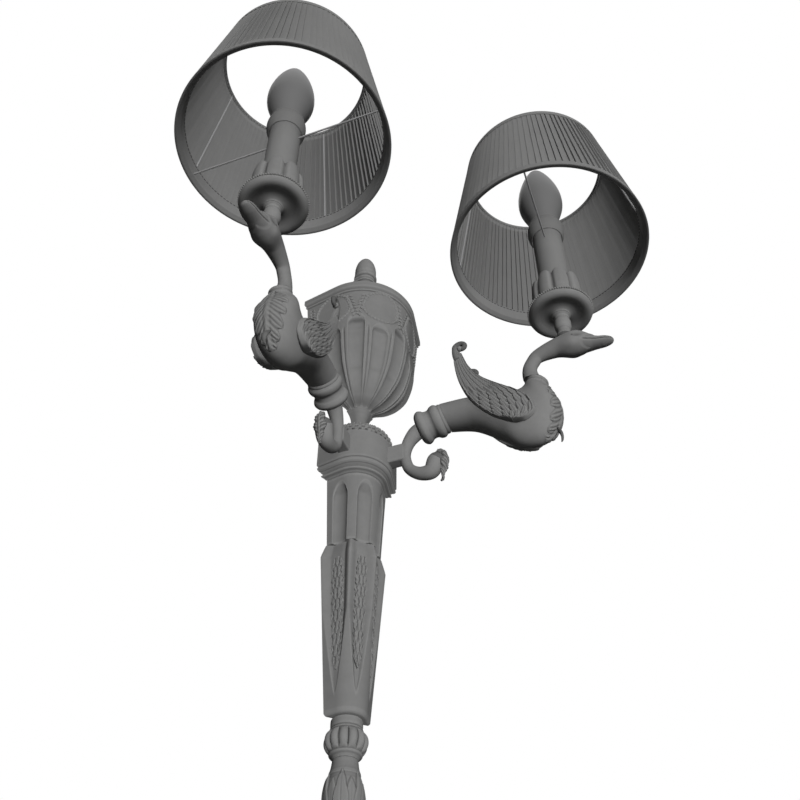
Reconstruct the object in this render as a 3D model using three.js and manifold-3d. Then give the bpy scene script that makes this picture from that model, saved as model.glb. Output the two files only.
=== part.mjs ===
// Wall sconce: a half urn on a fluted, tapering stem, with two swan arms that carry
// electric candles under pleated shades.
// Millimetres, +Z up. The wall is the plane y = 0 and the room lies at negative y.
// x = 0 is the plane of symmetry, and z = 0 is the level of the arms' scrolls at the collar.

import * as THREE from 'three';
import { mergeVertices } from 'three/addons/utils/BufferGeometryUtils.js';
import Module from 'manifold-3d';

const wasm = await Module();
wasm.setup();

// Clearances
const fit = 0.3;                  // between pieces that touch

// Column, half widths at its flat back
const wallToAxis = 16;            // wall to the column's axis, which lies in the castings' flat backs
const castingDepth = 0.82;        // depth of a half casting over its half width
const pipeRadius = 5;             // stem pipe that the castings are threaded on
const pipeWall = 1.5;
const pipeInDrop = 20;            // how far the pipe reaches into the leaf drop
const pipeInFinial = 14;
const sleeveWall = 1.8;           // wall of the lug round the pipe behind each casting
const drumTop = 18.3;
const drumHeight = 27.8;
const drumRadius = 34.5;
const mouldingHeight = 11.1;      // torus, cove and thin ring under the drum
const laurelRadius = 28.5;        // middle of the laurel ring on the drum
const laurelThickness = 8.4;
const shaftHeight = 61.1;
const shaftTopRadius = 25;
const shaftBottomRadius = 21.7;
const fluteDepth = 2.6;
const fluteSpan = 36;             // degrees across a flute of the shaft
const faces = 6;                  // flutes of the shaft and panels of the sheath, round a circle
const spigotRadius = 12.3;        // foot of the shaft, standing in the sheath
const spigotLength = 12;
const shoulderHeight = 11.7;      // sloping top of the sheath
const shoulderRadius = 25.8;
const sheathHeight = 132.6;
const sheathBottomRadius = 16.2;
const panelHollow = 0.12;         // depth of the sheath's panels over its radius
const sheathRoundEnd = 18;        // the panels blend into a round end over this height
const footHeight = 43;            // waisted stem of the urn
const footRadius = 23.5;
const footNeckRadius = 7.8;
const bowlHeight = 123.7;
const bowlRadius = 52;            // half width above the flutes
const bowlFootRadius = 12;
const lipRadius = 58.7;
const lipHeight = 11.8;
const bowlFlutes = 12;            // round a full circle
const bowlFluteDepth = 2.4;
const wreathRadius = 17.5;
const wreathThickness = 5;
const wreathHeight = 84.4;        // centre of a wreath above the bowl's foot
const wreathAngles = [-60, 0, 60];
const lidHeight = 59;
const lidInset = 5.2;             // lid edge inside the lip
const finialHeight = 34.4;
const finialRadius = 10.4;
const knopHeight = 26.3;
const knopRadius = 14.2;
const knopLobes = 12;
const dropHeight = 76.7;
const dropRadius = 13;
const dropLeaves = 6;
const tipRadius = 6;

// Wall fixing, kept narrow enough to stay hidden behind the column
const plateThickness = 2.5;
const plateRadius = 11.2;         // half its width
const plateHeight = 92;
const plateTop = 12;
const screwHoleRadius = 2.5;
const upperHoleDown = 5;          // upper screw hole below the plate's top
const lowerHoleUp = 10;           // lower screw hole above the plate's bottom
const wireHoleRadius = 6;
const wireHoleDown = 24;          // wire hole below the plate's top
const channelWall = 1.5;
const channelHeight = 98;
const channelTop = 14;
const channelOffWall = 0.5;       // the channel's edges stop this far from the wall
const earHeight = 24;
const earWall = 2.5;
const earMiddle = -34;            // height of the side screws
const sideScrewRadius = 1.25;
const sideScrewHead = 3;
const sideScrewHeadHeight = 1.6;
const studRadius = 2.2;           // studs on the castings, peened over behind the channel
const studOut = 9.6;
const studSpread = 9.5;           // studs either side of the middle
const collarStudDown = 14;        // below the drum's top
const shaftStudUp = 8;            // above the shaft's foot

// Arm, measured outward from the column's axis along the arm
const armAngle = 45;              // each arm against the wall
const barWidth = 10;
const barHeight = 16.8;
const barMiddle = 4;              // the bar's middle height
const barInner = 14;              // inner end of the bar, in the collar
const scrollOut = 41;             // column axis to the scroll's upright stretch
const candleOut = 140;            // scroll to the candle's axis
const spoolTilt = 14;             // rise of the spool's axis in degrees
const spoolRadius = 14.3;
const spoolNeckRadius = 11.9;
const spoolStart = new THREE.Vector2(52, 26.3);
const spoolLength = 24;
const spoolSpigotRadius = 7.5;
const spoolSpigotLength = 7;
const neckRingRadius = 9.7;
const neckRingHeight = 8.4;
const neckRingLean = 18;          // outward lean of the ring's axis in degrees
const neckRingAt = new THREE.Vector2(111.6, 43);
const neckSpigotRadius = 5.6;
const neckSpigotLength = 14;
const wingThickness = 3;
const wingOut = 18.2;             // outer face of a wing from the arm's middle plane
const wingPadDepth = 5;           // shoulder pad that fills the wing down to the body
const leafThickness = 2;
const headTop = 90;               // seat of the candle on the head

// Candle, measured up from its seat on the head
const nippleRadius = 4;
const nippleBelow = 10;
const nippleAbove = 54;
const stemHeight = 25;
const stemBallRadius = 7.3;
const panRadius = 27;
const panHeight = 7.1;
const panWall = 3.1;
const cupRadius = 21;
const cupHeight = 52.6;
const cupPetals = 8;
const cupFloor = 6.4;
const candleRadius = 13.3;
const candleWall = 1.2;
const candleHeight = 117.9;
const capRadius = 16.75;
const capHeight = 22.5;
const capCover = 17.9;            // how far the cap reaches down over the sleeve
const capMouthRadius = 13;
const holderRadius = 11.5;
const holderHeight = 44.5;
const holderTubeRadius = 7;
const bulbRadius = 20.9;
const bulbHeight = 100.2;
const bulbSink = 3;               // the glass starts this far below the sleeve's top
const bulbCapRadius = 7;
const bulbCapHeight = 25.5;

// Shade, measured from the candle's seat
const shadeBottom = 119.2;
const shadeHeight = 133.2;
const shadeBottomRadius = 90;
const shadeTopRadius = 67.6;
const pleats = 60;
const pleatDepth = 1.2;
const bandWall = 0.7;
const bandHeight = 7;
const hemWall = 0.5;
const hemHeight = 13.5;
const wireRadius = 0.7;
const wireFromEdge = 4;           // wire rings from the shade's bottom and top edges
const struts = 4;

// Facets
const shadeFacets = 24;           // every layer of a shade has the same flats
const wideFacets = 16;
const roundFacets = 12;
const smallFacets = 8;
const bodySides = 14;             // round the swan's body and neck
const neckSides = 10;
const facesFacets = 48;           // round the shaft and the sheath
const perLobe = 3;                // points on each lobe, flute or petal
const weld = 1e-4;

const degrees = THREE.MathUtils.degToRad;

const bronze = { color: 0x6d6d6c, roughness: 0.55, metalness: 0.6 };
const steel = { color: 0x7c7d80, roughness: 0.45, metalness: 0.9 };
const brass = { color: 0x7d7b74, roughness: 0.35, metalness: 0.9 };
const card = { color: 0x8a8a88, roughness: 0.7, metalness: 0 };
const moulded = { color: 0x5a5a5c, roughness: 0.6, metalness: 0 };
const glass = { color: 0x9a9a9a, roughness: 0.3, metalness: 0 };
const cloth = { color: 0x7f7f7e, roughness: 0.95, metalness: 0 };
const wire = { color: 0x4a4a4b, roughness: 0.5, metalness: 0.8 };

// Solids from three.js geometry, and back

function solidFrom(geometry) {
  const bare = new THREE.BufferGeometry();
  bare.setAttribute('position', geometry.getAttribute('position').clone());
  if (geometry.index) bare.setIndex(geometry.index.clone());
  const merged = mergeVertices(bare, weld);
  const corners = merged.index.array;
  const kept = [];
  for (let i = 0; i < corners.length; i += 3) {
    const [a, b, c] = corners.slice(i, i + 3);
    if (a !== b && b !== c && c !== a) kept.push(a, b, c);
  }
  const vertProperties = new Float32Array(merged.getAttribute('position').array);
  const build = (list) => new wasm.Manifold(new wasm.Mesh({
    numProp: 3, vertProperties, triVerts: new Uint32Array(list),
  }));
  const solid = build(kept);
  return solid.volume() > 0 ? solid : build(kept.reverse());
}

function geometryOf(solid) {
  const { vertProperties, triVerts } = solid.getMesh();
  const geometry = new THREE.BufferGeometry();
  geometry.setAttribute('position', new THREE.BufferAttribute(vertProperties, 3));
  geometry.setIndex(new THREE.BufferAttribute(triVerts, 1));
  return geometry;
}

function placed(solid, matrix) {
  return solidFrom(geometryOf(solid).applyMatrix4(matrix));
}

const joined = (first, ...rest) => rest.reduce((sum, solid) => sum.add(solid), first);
const cut = (first, ...rest) => rest.reduce((left, solid) => left.subtract(solid), first);

function box(x, y, z) {
  const geometry = new THREE.BoxGeometry(x[1] - x[0], y[1] - y[0], z[1] - z[0]);
  geometry.translate((x[0] + x[1]) / 2, (y[0] + y[1]) / 2, (z[0] + z[1]) / 2);
  return solidFrom(geometry);
}

// A profile of [radius, height] pairs turned about Z
function turned(profile, facets = roundFacets) {
  const points = profile.map(([radius, height]) => new THREE.Vector2(radius, height));
  return solidFrom(new THREE.LatheGeometry(points, facets).rotateX(Math.PI / 2));
}

function pin(radius, bottom, top, facets = smallFacets) {
  return turned([[0, bottom], [radius, bottom], [radius, top], [0, top]], facets);
}

// Rings of points joined into a skin, with fan ends or closed into a loop
function skin(rings, loop = false) {
  const sides = rings[0].length;
  const points = rings.flat();
  const index = [];
  const spans = loop ? rings.length : rings.length - 1;
  for (let k = 0; k < spans; k += 1) {
    const next = (k + 1) % rings.length;
    for (let i = 0; i < sides; i += 1) {
      const j = (i + 1) % sides;
      const [a, b, c, d] = [k * sides + i, k * sides + j, next * sides + j, next * sides + i];
      index.push(a, b, c, a, c, d);
    }
  }
  if (!loop) {
    for (const k of [0, rings.length - 1]) {
      const centre = rings[k].reduce((sum, p) => sum.add(p), new THREE.Vector3());
      points.push(centre.divideScalar(sides));
      for (let i = 0; i < sides; i += 1) {
        const edge = [k * sides + i, k * sides + (i + 1) % sides];
        index.push(points.length - 1, ...(k === 0 ? edge.reverse() : edge));
      }
    }
  }
  const geometry = new THREE.BufferGeometry().setFromPoints(points);
  geometry.setIndex(index);
  return solidFrom(geometry);
}

// Smooth values between a few chosen ones: each row is a list of numbers
function smoothRows(rows, steps) {
  const last = rows.length - 1;
  const count = last * steps;
  const columns = rows[0].map((_, column) => {
    const points = rows.map((row, k) => new THREE.Vector2(k, row[column]));
    return new THREE.SplineCurve(points);
  });
  return Array.from({ length: count + 1 }, (_, k) => columns.map((c) => c.getPoint(k / count).y));
}

// An ellipse in the arm's frame round a middle point, along direction m in the arm's plane
function ellipse(middle, direction, high, wide, sides) {
  return Array.from({ length: sides }, (_, i) => {
    const turn = 2 * Math.PI * i / sides;
    const along = direction.clone().multiplyScalar(high * Math.cos(turn));
    return new THREE.Vector3(middle.x + along.x, wide * Math.sin(turn), middle.y + along.y);
  });
}

// A round or flattened rod: rows of [out, up, half height, half width] along its spine
function rod(rows, steps, sides, grow = 0) {
  const smooth = smoothRows(rows, steps);
  const spine = smooth.map(([out, up]) => new THREE.Vector2(out, up));
  return skin(smooth.map(([, , high, wide], k) => {
    const before = spine[Math.max(k - 1, 0)];
    const after = spine[Math.min(k + 1, spine.length - 1)];
    const tangent = after.clone().sub(before).normalize();
    const across = new THREE.Vector2(-tangent.y, tangent.x);
    return ellipse(spine[k], across, high + grow, wide + grow, sides);
  }));
}

// Levels of [radius, height, relief] with a wave of lobes round Z, the wave running from 0 to 1
function lobed(levels, facets, wave) {
  return skin(levels.map(([radius, height, relief = 0]) => (
    Array.from({ length: facets }, (_, i) => {
      const turn = 2 * Math.PI * i / facets;
      const r = radius - relief * wave(turn);
      return new THREE.Vector3(r * Math.sin(turn), -r * Math.cos(turn), height);
    })
  )));
}

// Plan of the half castings: a round front that runs on in flats to the corners at the back.
// The share of the half width that the plan reaches, in direction turn from the front
const flatsFrom = Math.asin(castingDepth);

function planShare(turn) {
  const fromFront = Math.abs(turn) > Math.PI / 2 ? Math.PI - Math.abs(turn) : Math.abs(turn);
  return castingDepth / Math.cos(Math.max(fromFront - flatsFrom, 0));
}

function toPlan(solid) {
  const geometry = geometryOf(solid);
  const place = geometry.getAttribute('position');
  for (let i = 0; i < place.count; i += 1) {
    const share = planShare(Math.atan2(place.getX(i), -place.getY(i)));
    place.setXY(i, share * place.getX(i), share * place.getY(i));
  }
  return solidFrom(geometry);
}

// A half casting: brought to the plan, cut at its flat back, with a lug round the pipe
function halfCasting(round, bottom, top) {
  const far = 2 * lipRadius;
  const front = toPlan(round).intersect(box([-far, far], [-far, 0], [bottom - far, top + far]));
  const lug = pin(pipeRadius + sleeveWall, bottom, top);
  return joined(front, lug).subtract(pin(pipeRadius + fit, bottom - 1, top + 1));
}

const sconce = new THREE.Group();
sconce.name = 'wall_sconce';

function addPiece(parent, name, solid, look) {
  const mesh = new THREE.Mesh(geometryOf(solid), new THREE.MeshStandardMaterial(look));
  mesh.name = name;
  parent.add(mesh);
}

const column = new THREE.Group();
column.position.y = -wallToAxis;
sconce.add(column);

// Heights down and up the column
const drumBottom = drumTop - drumHeight;
const mouldingBottom = drumBottom - mouldingHeight;
const shaftTop = mouldingBottom - fit;
const shaftBottom = shaftTop - shaftHeight;
const sheathTop = shaftBottom - fit;
const sheathBottom = sheathTop - sheathHeight;
const knopTop = sheathBottom - fit;
const knopBottom = knopTop - knopHeight;
const dropTop = knopBottom - fit;
const footBottom = drumTop + fit;
const footTop = footBottom + footHeight;
const bowlBottom = footTop + fit;
const bowlTop = bowlBottom + bowlHeight;
const lidBottom = bowlTop + fit;
const lidTop = lidBottom + lidHeight;
const finialBottom = lidTop + fit;
const pipeBottom = dropTop - pipeInDrop;
const pipeTop = finialBottom + pipeInFinial;
const pipeBore = pipeRadius + fit;

// A stud on a casting's back that passes through the channel
function stud(x, z) {
  const geometry = new THREE.CylinderGeometry(studRadius, studRadius, studOut + 2, smallFacets);
  return solidFrom(geometry.translate(x, (studOut + 2) / 2 - 2, z));
}

const collarStuds = [-studSpread, studSpread].map((x) => [x, drumTop - collarStudDown]);
const shaftStuds = [-studSpread, studSpread].map((x) => [x, shaftBottom + shaftStudUp]);

function barSolid(grow) {
  const half = barWidth / 2 + grow;
  const high = barHeight / 2 + grow;
  return box([barInner - grow, scrollOut], [-half, half], [barMiddle - high, barMiddle + high]);
}

// Collar: drum with the mouldings below it, mortised for the two arm bars
function collarDrum() {
  const ring = drumRadius - 2;
  const thin = shaftTopRadius + 5.2;
  const profile = [
    [0, drumTop], [drumRadius - 1, drumTop], [drumRadius, drumTop - 1],
    [drumRadius, drumBottom + 0.8], [ring, drumBottom],
    [ring + 0.6, drumBottom - 1.8], [ring - 1.4, drumBottom - 3.6], [thin - 2.6, drumBottom - 5.6],
    [thin - 2, drumBottom - 7], [thin, drumBottom - 7.6], [thin, drumBottom - 9],
    [shaftTopRadius + 1, mouldingBottom], [0, mouldingBottom],
  ];
  const body = halfCasting(turned(profile, 2 * roundFacets), mouldingBottom, drumTop);
  const mortises = [-armAngle, armAngle - 180].map((turn) => (
    placed(barSolid(fit), new THREE.Matrix4().makeRotationZ(degrees(turn)))
  ));
  return cut(joined(body, ...collarStuds.map(([x, z]) => stud(x, z))), ...mortises);
}

// Laurel ring: half a torus resting on the drum
function laurelRing() {
  const half = laurelThickness / 2;
  const torus = new THREE.TorusGeometry(laurelRadius, half, 6, 2 * wideFacets);
  const seat = footBottom + half * 0.8;
  const ring = solidFrom(torus.translate(0, 0, seat));
  const far = 2 * laurelRadius;
  return toPlan(ring).intersect(box([-far, far], [-far, 0], [footBottom, footBottom + far]));
}

// Shaft: three flutes with round tops, and a spigot that stands in the sheath
const faceStep = 2 * Math.PI / faces;

// Angle from the middle of the nearest face
function fromFaceMiddle(turn) {
  return Math.abs(((turn + faceStep / 2) % faceStep + faceStep) % faceStep - faceStep / 2);
}

function flutedShaft() {
  const slope = (shaftTopRadius - shaftBottomRadius) / shaftHeight;
  const level = (down, share) => [
    shaftTopRadius - slope * down, shaftTop - down, fluteDepth * share,
  ];
  const levels = [
    level(0, 0), level(7, 0), level(9, 0.5), level(13, 0.85), level(18, 1),
    level(shaftHeight, 1),
  ];
  const half = degrees(fluteSpan / 2);
  const wave = (turn) => Math.max(0, 1 - (fromFaceMiddle(turn) / half) ** 2);
  const spigotBottom = shaftBottom - spigotLength;
  const spigot = pin(spigotRadius, spigotBottom, shaftBottom + 1, roundFacets);
  const round = joined(lobed(levels, facesFacets, wave), spigot);
  const body = halfCasting(round, spigotBottom, shaftTop);
  return joined(body, ...shaftStuds.map(([x, z]) => stud(x, z)));
}

// Sheath: three hollowed panels between ridges, under a sloping shoulder
function sheath() {
  const panelTop = sheathTop - shoulderHeight;
  const roundStart = sheathBottom + sheathRoundEnd;
  const panelHeight = panelTop - sheathBottom;
  const radiusAt = (z) => (
    sheathBottomRadius + (shoulderRadius - sheathBottomRadius) * (z - sheathBottom) / panelHeight
  );
  const level = (z, share) => [radiusAt(z), z, panelHollow * share * radiusAt(z)];
  const mouth = shaftBottomRadius + 0.4;
  const levels = [
    [mouth, sheathTop, panelHollow * 0.8 * mouth], level(panelTop, 0.8), level(panelTop - 9, 1),
    level(roundStart + 12, 1), level(roundStart, 0.4), level(sheathBottom + 5, 0),
    level(sheathBottom + 1.5, 0), [sheathBottomRadius - 1.6, sheathBottom, 0],
  ];
  const wave = (turn) => 1 - (fromFaceMiddle(turn) / (faceStep / 2)) ** 4;
  const body = halfCasting(lobed(levels, facesFacets, wave), sheathBottom, sheathTop);
  const socketBottom = sheathTop - spigotLength - fit;
  const socketRadius = spigotRadius + fit / castingDepth;
  const socket = toPlan(pin(socketRadius, socketBottom, sheathTop + 1, roundFacets));
  return cut(body, socket, pin(pipeRadius + sleeveWall + fit, socketBottom, sheathTop + 1));
}

// Urn stem: a trumpet foot, a waist and a ring under the bowl
function urnFoot() {
  const neck = footNeckRadius;
  const profile = [
    [0, footBottom], [footRadius, footBottom], [footRadius, footBottom + 2.6],
    [footRadius * 0.8, footBottom + 5], [footRadius * 0.58, footBottom + 9],
    [neck + 1.6, footBottom + 17], [neck, footBottom + 26], [neck + 0.6, footBottom + 32],
    [neck + 2.3, footBottom + 37.5], [bowlFootRadius, footTop - 1.5],
    [bowlFootRadius - 0.5, footTop], [0, footTop],
  ];
  return halfCasting(turned(profile, wideFacets), footBottom, footTop);
}

// Urn bowl: ribs from the foot up to the shoulder, a band with three wreaths, and a lip
function urnBowl() {
  const lipBottom = bowlHeight - lipHeight;
  const profile = [
    [bowlFootRadius, 0, 0.3], [24, 7.5, 0.7], [34, 17, 1], [43, 31, 1],
    [48.5, 48, 1], [bowlRadius - 1, 62, 0.75], [bowlRadius - 0.4, 67, 0],
    [bowlRadius + 3.4, lipBottom - 1.5, 0],
    [lipRadius, lipBottom + 1, 0], [lipRadius, bowlHeight, 0],
  ];
  const levels = profile.map(([radius, up, share]) => [radius, bowlBottom + up, bowlFluteDepth * share]);
  const wave = (turn) => (
    Math.abs(Math.sin(turn)) > 0.99 ? 0 : Math.max(0, Math.cos(bowlFlutes * turn))
  );
  const bowl = halfCasting(lobed(levels, bowlFlutes * perLobe, wave), bowlBottom, bowlTop);
  const seat = bowlRadius + 0.9;
  const wreaths = wreathAngles.map((angle) => {
    const turn = degrees(angle);
    const facesOut = THREE.MathUtils.clamp(turn, -flatsFrom, flatsFrom);
    const normal = new THREE.Vector3(Math.sin(facesOut), -Math.cos(facesOut), 0);
    const out = seat * planShare(turn);
    const at = new THREE.Vector3(
      out * Math.sin(turn), -out * Math.cos(turn), bowlBottom + wreathHeight,
    );
    const torus = new THREE.TorusGeometry(wreathRadius, wreathThickness / 2, 5, wideFacets);
    const facing = new THREE.Quaternion().setFromUnitVectors(new THREE.Vector3(0, 0, 1), normal);
    return solidFrom(torus.applyQuaternion(facing).translate(at.x, at.y, at.z));
  });
  const bore = pin(pipeBore, bowlBottom - 1, bowlTop + 1);
  const far = 2 * lipRadius;
  const front = box([-far, far], [-far, 0], [bowlBottom, bowlTop]);
  return joined(bowl, ...wreaths.map((wreath) => wreath.intersect(front))).subtract(bore);
}

// Lid: a low ogee dome rising to the neck that carries the finial
function urnLid() {
  const edge = lipRadius - lidInset;
  const profile = [
    [0, 0], [edge, 0], [edge, 2.6], [edge - 3.4, 3.8], [edge - 9.5, 10.5], [edge - 19, 17.5],
    [edge - 29, 23.5], [edge - 36, 31], [14, 41], [11.5, 50], [11.5, lidHeight], [0, lidHeight],
  ];
  const round = turned(profile.map(([radius, up]) => [radius, lidBottom + up]), wideFacets);
  return halfCasting(round, lidBottom, lidTop);
}

// Finial: an acorn in a ring, threaded on the pipe's upper end
function acornFinial() {
  const profile = [
    [0, 0], [finialRadius - 1, 0], [finialRadius + 0.7, 1.4], [finialRadius + 0.7, 4.4],
    [finialRadius - 0.6, 5.6], [finialRadius, 10], [finialRadius - 0.2, 17],
    [finialRadius - 1.7, 24], [finialRadius - 4.6, 30], [finialRadius - 8, 33.4], [0, finialHeight],
  ];
  const body = turned(profile.map(([radius, up]) => [radius, finialBottom + up]));
  return body.subtract(pin(pipeBore, finialBottom - 1, pipeTop + fit));
}

// Knop: a plain neck and a fat lobed ball, full round
function knop() {
  const neck = 10.5;
  const waist = 8.2;
  const levels = [
    [neck, knopTop], [neck, knopTop - 5.6], [neck + 0.3, knopTop - 7.6, 0],
    [knopRadius - 1.4, knopTop - 10, 0.8], [knopRadius, knopTop - 14.4, 1.3],
    [knopRadius - 1.2, knopTop - 19, 0.9], [neck, knopTop - 22, 0],
    [neck - 0.5, knopTop - 23.6, 0], [waist, knopBottom, 0],
  ];
  const wave = (turn) => 0.5 - 0.5 * Math.cos(knopLobes * turn);
  const body = lobed(levels, knopLobes * 2, wave);
  return body.subtract(pin(pipeBore, knopBottom - 1, knopTop + 1));
}

// Leaf drop: a closed bud of leaves with a tip ball
function leafDrop() {
  const budHeight = dropHeight - 2 * tipRadius;
  const levels = [
    [8.2, 0, 0], [9.4, 6, 0.4], [dropRadius - 1.4, 14, 1], [dropRadius, 24, 1.6],
    [dropRadius - 1, 36, 1.6], [dropRadius - 4, 48, 1.2], [dropRadius - 7.4, 57, 0.6],
    [4.4, budHeight + 1.5, 0],
  ];
  const wave = (turn) => Math.abs(Math.sin(dropLeaves * turn / 2)) ** 0.7;
  const flipped = levels.map(([radius, down, relief]) => [radius, dropTop - down, relief]);
  const bud = lobed(flipped, dropLeaves * perLobe, wave);
  const ball = new THREE.SphereGeometry(tipRadius, smallFacets, 6).rotateX(Math.PI / 2);
  const tip = solidFrom(ball.translate(0, 0, dropTop - dropHeight + tipRadius));
  return joined(bud, tip).subtract(pin(pipeBore, pipeBottom - fit, dropTop + 1));
}

function stemPipe() {
  const inner = pipeRadius - pipeWall;
  const profile = [
    [inner, pipeBottom], [pipeRadius, pipeBottom], [pipeRadius, pipeTop], [inner, pipeTop],
    [inner, pipeBottom],
  ];
  return turned(profile, smallFacets);
}

const castings = new THREE.Group();
column.add(castings);
addPiece(castings, 'acorn_finial', acornFinial(), bronze);
addPiece(castings, 'urn_lid', urnLid(), bronze);
addPiece(castings, 'urn_bowl', urnBowl(), bronze);
addPiece(castings, 'urn_foot', urnFoot(), bronze);
addPiece(castings, 'laurel_ring', laurelRing(), bronze);
addPiece(castings, 'collar_drum', collarDrum(), bronze);
addPiece(castings, 'fluted_shaft', flutedShaft(), bronze);
addPiece(castings, 'sheath', sheath(), bronze);
addPiece(castings, 'knop', knop(), bronze);
addPiece(castings, 'leaf_drop', leafDrop(), bronze);
addPiece(castings, 'stem_pipe', stemPipe(), steel);

// Wall fixing: a channel on the castings' studs closes over the ears of the wall plate.
// y is measured from the wall here.
const plateFront = -plateThickness;
const channelFront = -(wallToAxis - pipeRadius - sleeveWall - fit);
const channelBack = channelFront + channelWall;
const channelInner = plateRadius + fit;
const channelOuter = channelInner + channelWall;
const earFront = channelBack + fit;
const screwDepth = (earFront + plateFront) / 2;

function acrossPin(radius, from, to, y, z) {
  const geometry = new THREE.CylinderGeometry(radius, radius, to - from, smallFacets);
  return solidFrom(geometry.rotateZ(Math.PI / 2).translate((from + to) / 2, y, z));
}

function throughPin(radius, x, z) {
  const geometry = new THREE.CylinderGeometry(radius, radius, 2 * wallToAxis, smallFacets);
  return solidFrom(geometry.translate(x, 0, z));
}

function mountingChannel() {
  const bottom = channelTop - channelHeight;
  const edge = -channelOffWall;
  const outer = box([-channelOuter, channelOuter], [channelFront, edge], [bottom, channelTop]);
  const inner = box([-channelInner, channelInner], [channelBack, 1], [bottom - 1, channelTop + 1]);
  const studHole = ([x, z]) => throughPin(studRadius + fit, x, z);
  const studHoles = [...collarStuds, ...shaftStuds].map(studHole);
  const far = 2 * channelOuter;
  const screwHole = acrossPin(sideScrewRadius + fit, -far, far, screwDepth, earMiddle);
  const wireHole = throughPin(wireHoleRadius - 1, 0, plateTop - wireHoleDown);
  return cut(outer, inner, ...studHoles, screwHole, wireHole);
}

function wallPlate() {
  const bottom = plateTop - plateHeight;
  const plate = box([-plateRadius, plateRadius], [plateFront, 0], [bottom, plateTop]);
  const ears = [-1, 1].map((side) => {
    const edges = [side * plateRadius, side * (plateRadius - earWall)].sort((a, b) => a - b);
    const heights = [earMiddle - earHeight / 2, earMiddle + earHeight / 2];
    return box(edges, [earFront, plateFront + 1], heights);
  });
  const far = 2 * plateRadius;
  const holes = [
    throughPin(screwHoleRadius, 0, plateTop - upperHoleDown),
    throughPin(screwHoleRadius, 0, bottom + lowerHoleUp),
    throughPin(wireHoleRadius, 0, plateTop - wireHoleDown),
    acrossPin(sideScrewRadius + fit, -far, far, screwDepth, earMiddle),
  ];
  return cut(joined(plate, ...ears), ...holes);
}

function sideScrew(side) {
  const headFrom = channelOuter + fit;
  const shank = acrossPin(sideScrewRadius, plateRadius - earWall, headFrom + 0.5, 0, 0);
  const head = acrossPin(sideScrewHead, headFrom, headFrom + sideScrewHeadHeight, 0, 0);
  const screw = joined(shank, head);
  const turn = new THREE.Matrix4().makeRotationZ(side < 0 ? Math.PI : 0);
  return placed(screw, turn.setPosition(0, screwDepth, earMiddle));
}

addPiece(sconce, 'mounting_channel', mountingChannel(), steel);
addPiece(sconce, 'wall_plate', wallPlate(), steel);
addPiece(sconce, 'channel_screw_left', sideScrew(-1), steel);
addPiece(sconce, 'channel_screw_right', sideScrew(1), steel);

// Scroll: rows of [out, up, radius] from the end ball round to the spool
const scrollRows = [
  [25.5, -10.5, 6.8], [21.3, -20.3, 6.4], [13.1, -20.3, 5.4], [5.8, -15.5, 4.7],
  [1.7, -8.6, 4.5], [0, 3, 4.4], [2.7, 14.6, 5.2], [9, 23.4, 6.4], [15.2, 26.8, 6.4],
];

function scrollTube(grow) {
  const rows = scrollRows.map(([out, up, radius]) => [scrollOut + out, up, radius, radius]);
  return rod(rows, 2, smallFacets, grow);
}

// Leaf on the scroll's end: [out, up, half thickness, half width]
const scrollLeafRows = [
  [20.5, -3.5, 1.2, 4], [26.5, -4.4, 1.8, 7], [30.2, -13, 1.8, 6.5], [31.4, -22.3, 1.5, 4.5],
  [29.5, -31.8, 0.6, 1.4],
];

function scroll() {
  const ballAt = scrollRows[0];
  const ball = new THREE.SphereGeometry(ballAt[2], smallFacets, 6).translate(scrollOut + ballAt[0], 0, ballAt[1]);
  const leaf = rod(scrollLeafRows.map(([out, ...rest]) => [scrollOut + out, ...rest]), 1, 6);
  return joined(scrollTube(0), solidFrom(ball), leaf);
}

// Spool: two rings on a waist, on a rising axis, from the scroll to the swan's body
const spoolTurn = degrees(90 - spoolTilt);

function onSpoolAxis(solid) {
  const matrix = new THREE.Matrix4().makeRotationY(spoolTurn);
  return placed(solid, matrix.setPosition(spoolStart.x, 0, spoolStart.y));
}

function spool() {
  const [big, waist] = [spoolRadius, spoolNeckRadius];
  const end = spoolLength;
  const profile = [
    [0, 0], [big - 5, 0], [big - 1.2, 1.8], [big, 4.7], [big - 1, 7.4], [waist, 9.4], [waist, 13.6],
    [big - 1, 15.6], [big - 0.3, 18], [big - 1.2, 20.4], [waist + 0.6, 21.6],
    [waist + 0.6, end], [0, end],
  ];
  const spigot = pin(spoolSpigotRadius, end - 1, end + spoolSpigotLength);
  return cut(onSpoolAxis(joined(turned(profile), spigot)), scrollTube(fit));
}

// Swan body: ellipses between the line of the back and the line of the belly.
// Rows of [back out, back up, belly out, belly up, half width], measured from the scroll.
const spoolAxis = new THREE.Vector2(Math.cos(degrees(spoolTilt)), Math.sin(degrees(spoolTilt)));
const bodyStart = spoolStart.clone().addScaledVector(spoolAxis, spoolLength + fit);
const bodyStartRadius = spoolNeckRadius + 0.6;
const bodyRows = [
  [bodyStart.x - spoolAxis.y * bodyStartRadius, bodyStart.y + spoolAxis.x * bodyStartRadius,
    bodyStart.x + spoolAxis.y * bodyStartRadius, bodyStart.y - spoolAxis.x * bodyStartRadius,
    bodyStartRadius],
  ...[
    [55.5, 43.4, 57.5, 13.6, 14], [79, 39.5, 77.5, -3, 16], [92, 38.4, 92, -15.5, 16.5],
    [98.5, 39.6, 108, -18.6, 16.5], [101, 41.4, 119.5, -12, 16.5], [102, 42.8, 126.6, 3, 16],
    [102.4, 43.8, 126.6, 18, 14.2], [102.6, 45, 122.8, 29, 11.8], [102.8, 47.5, 120.6, 38, 9.3],
  ].map(([backOut, backUp, bellyOut, bellyUp, half]) => (
    [scrollOut + backOut, backUp, scrollOut + bellyOut, bellyUp, half]
  )),
];

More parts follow.
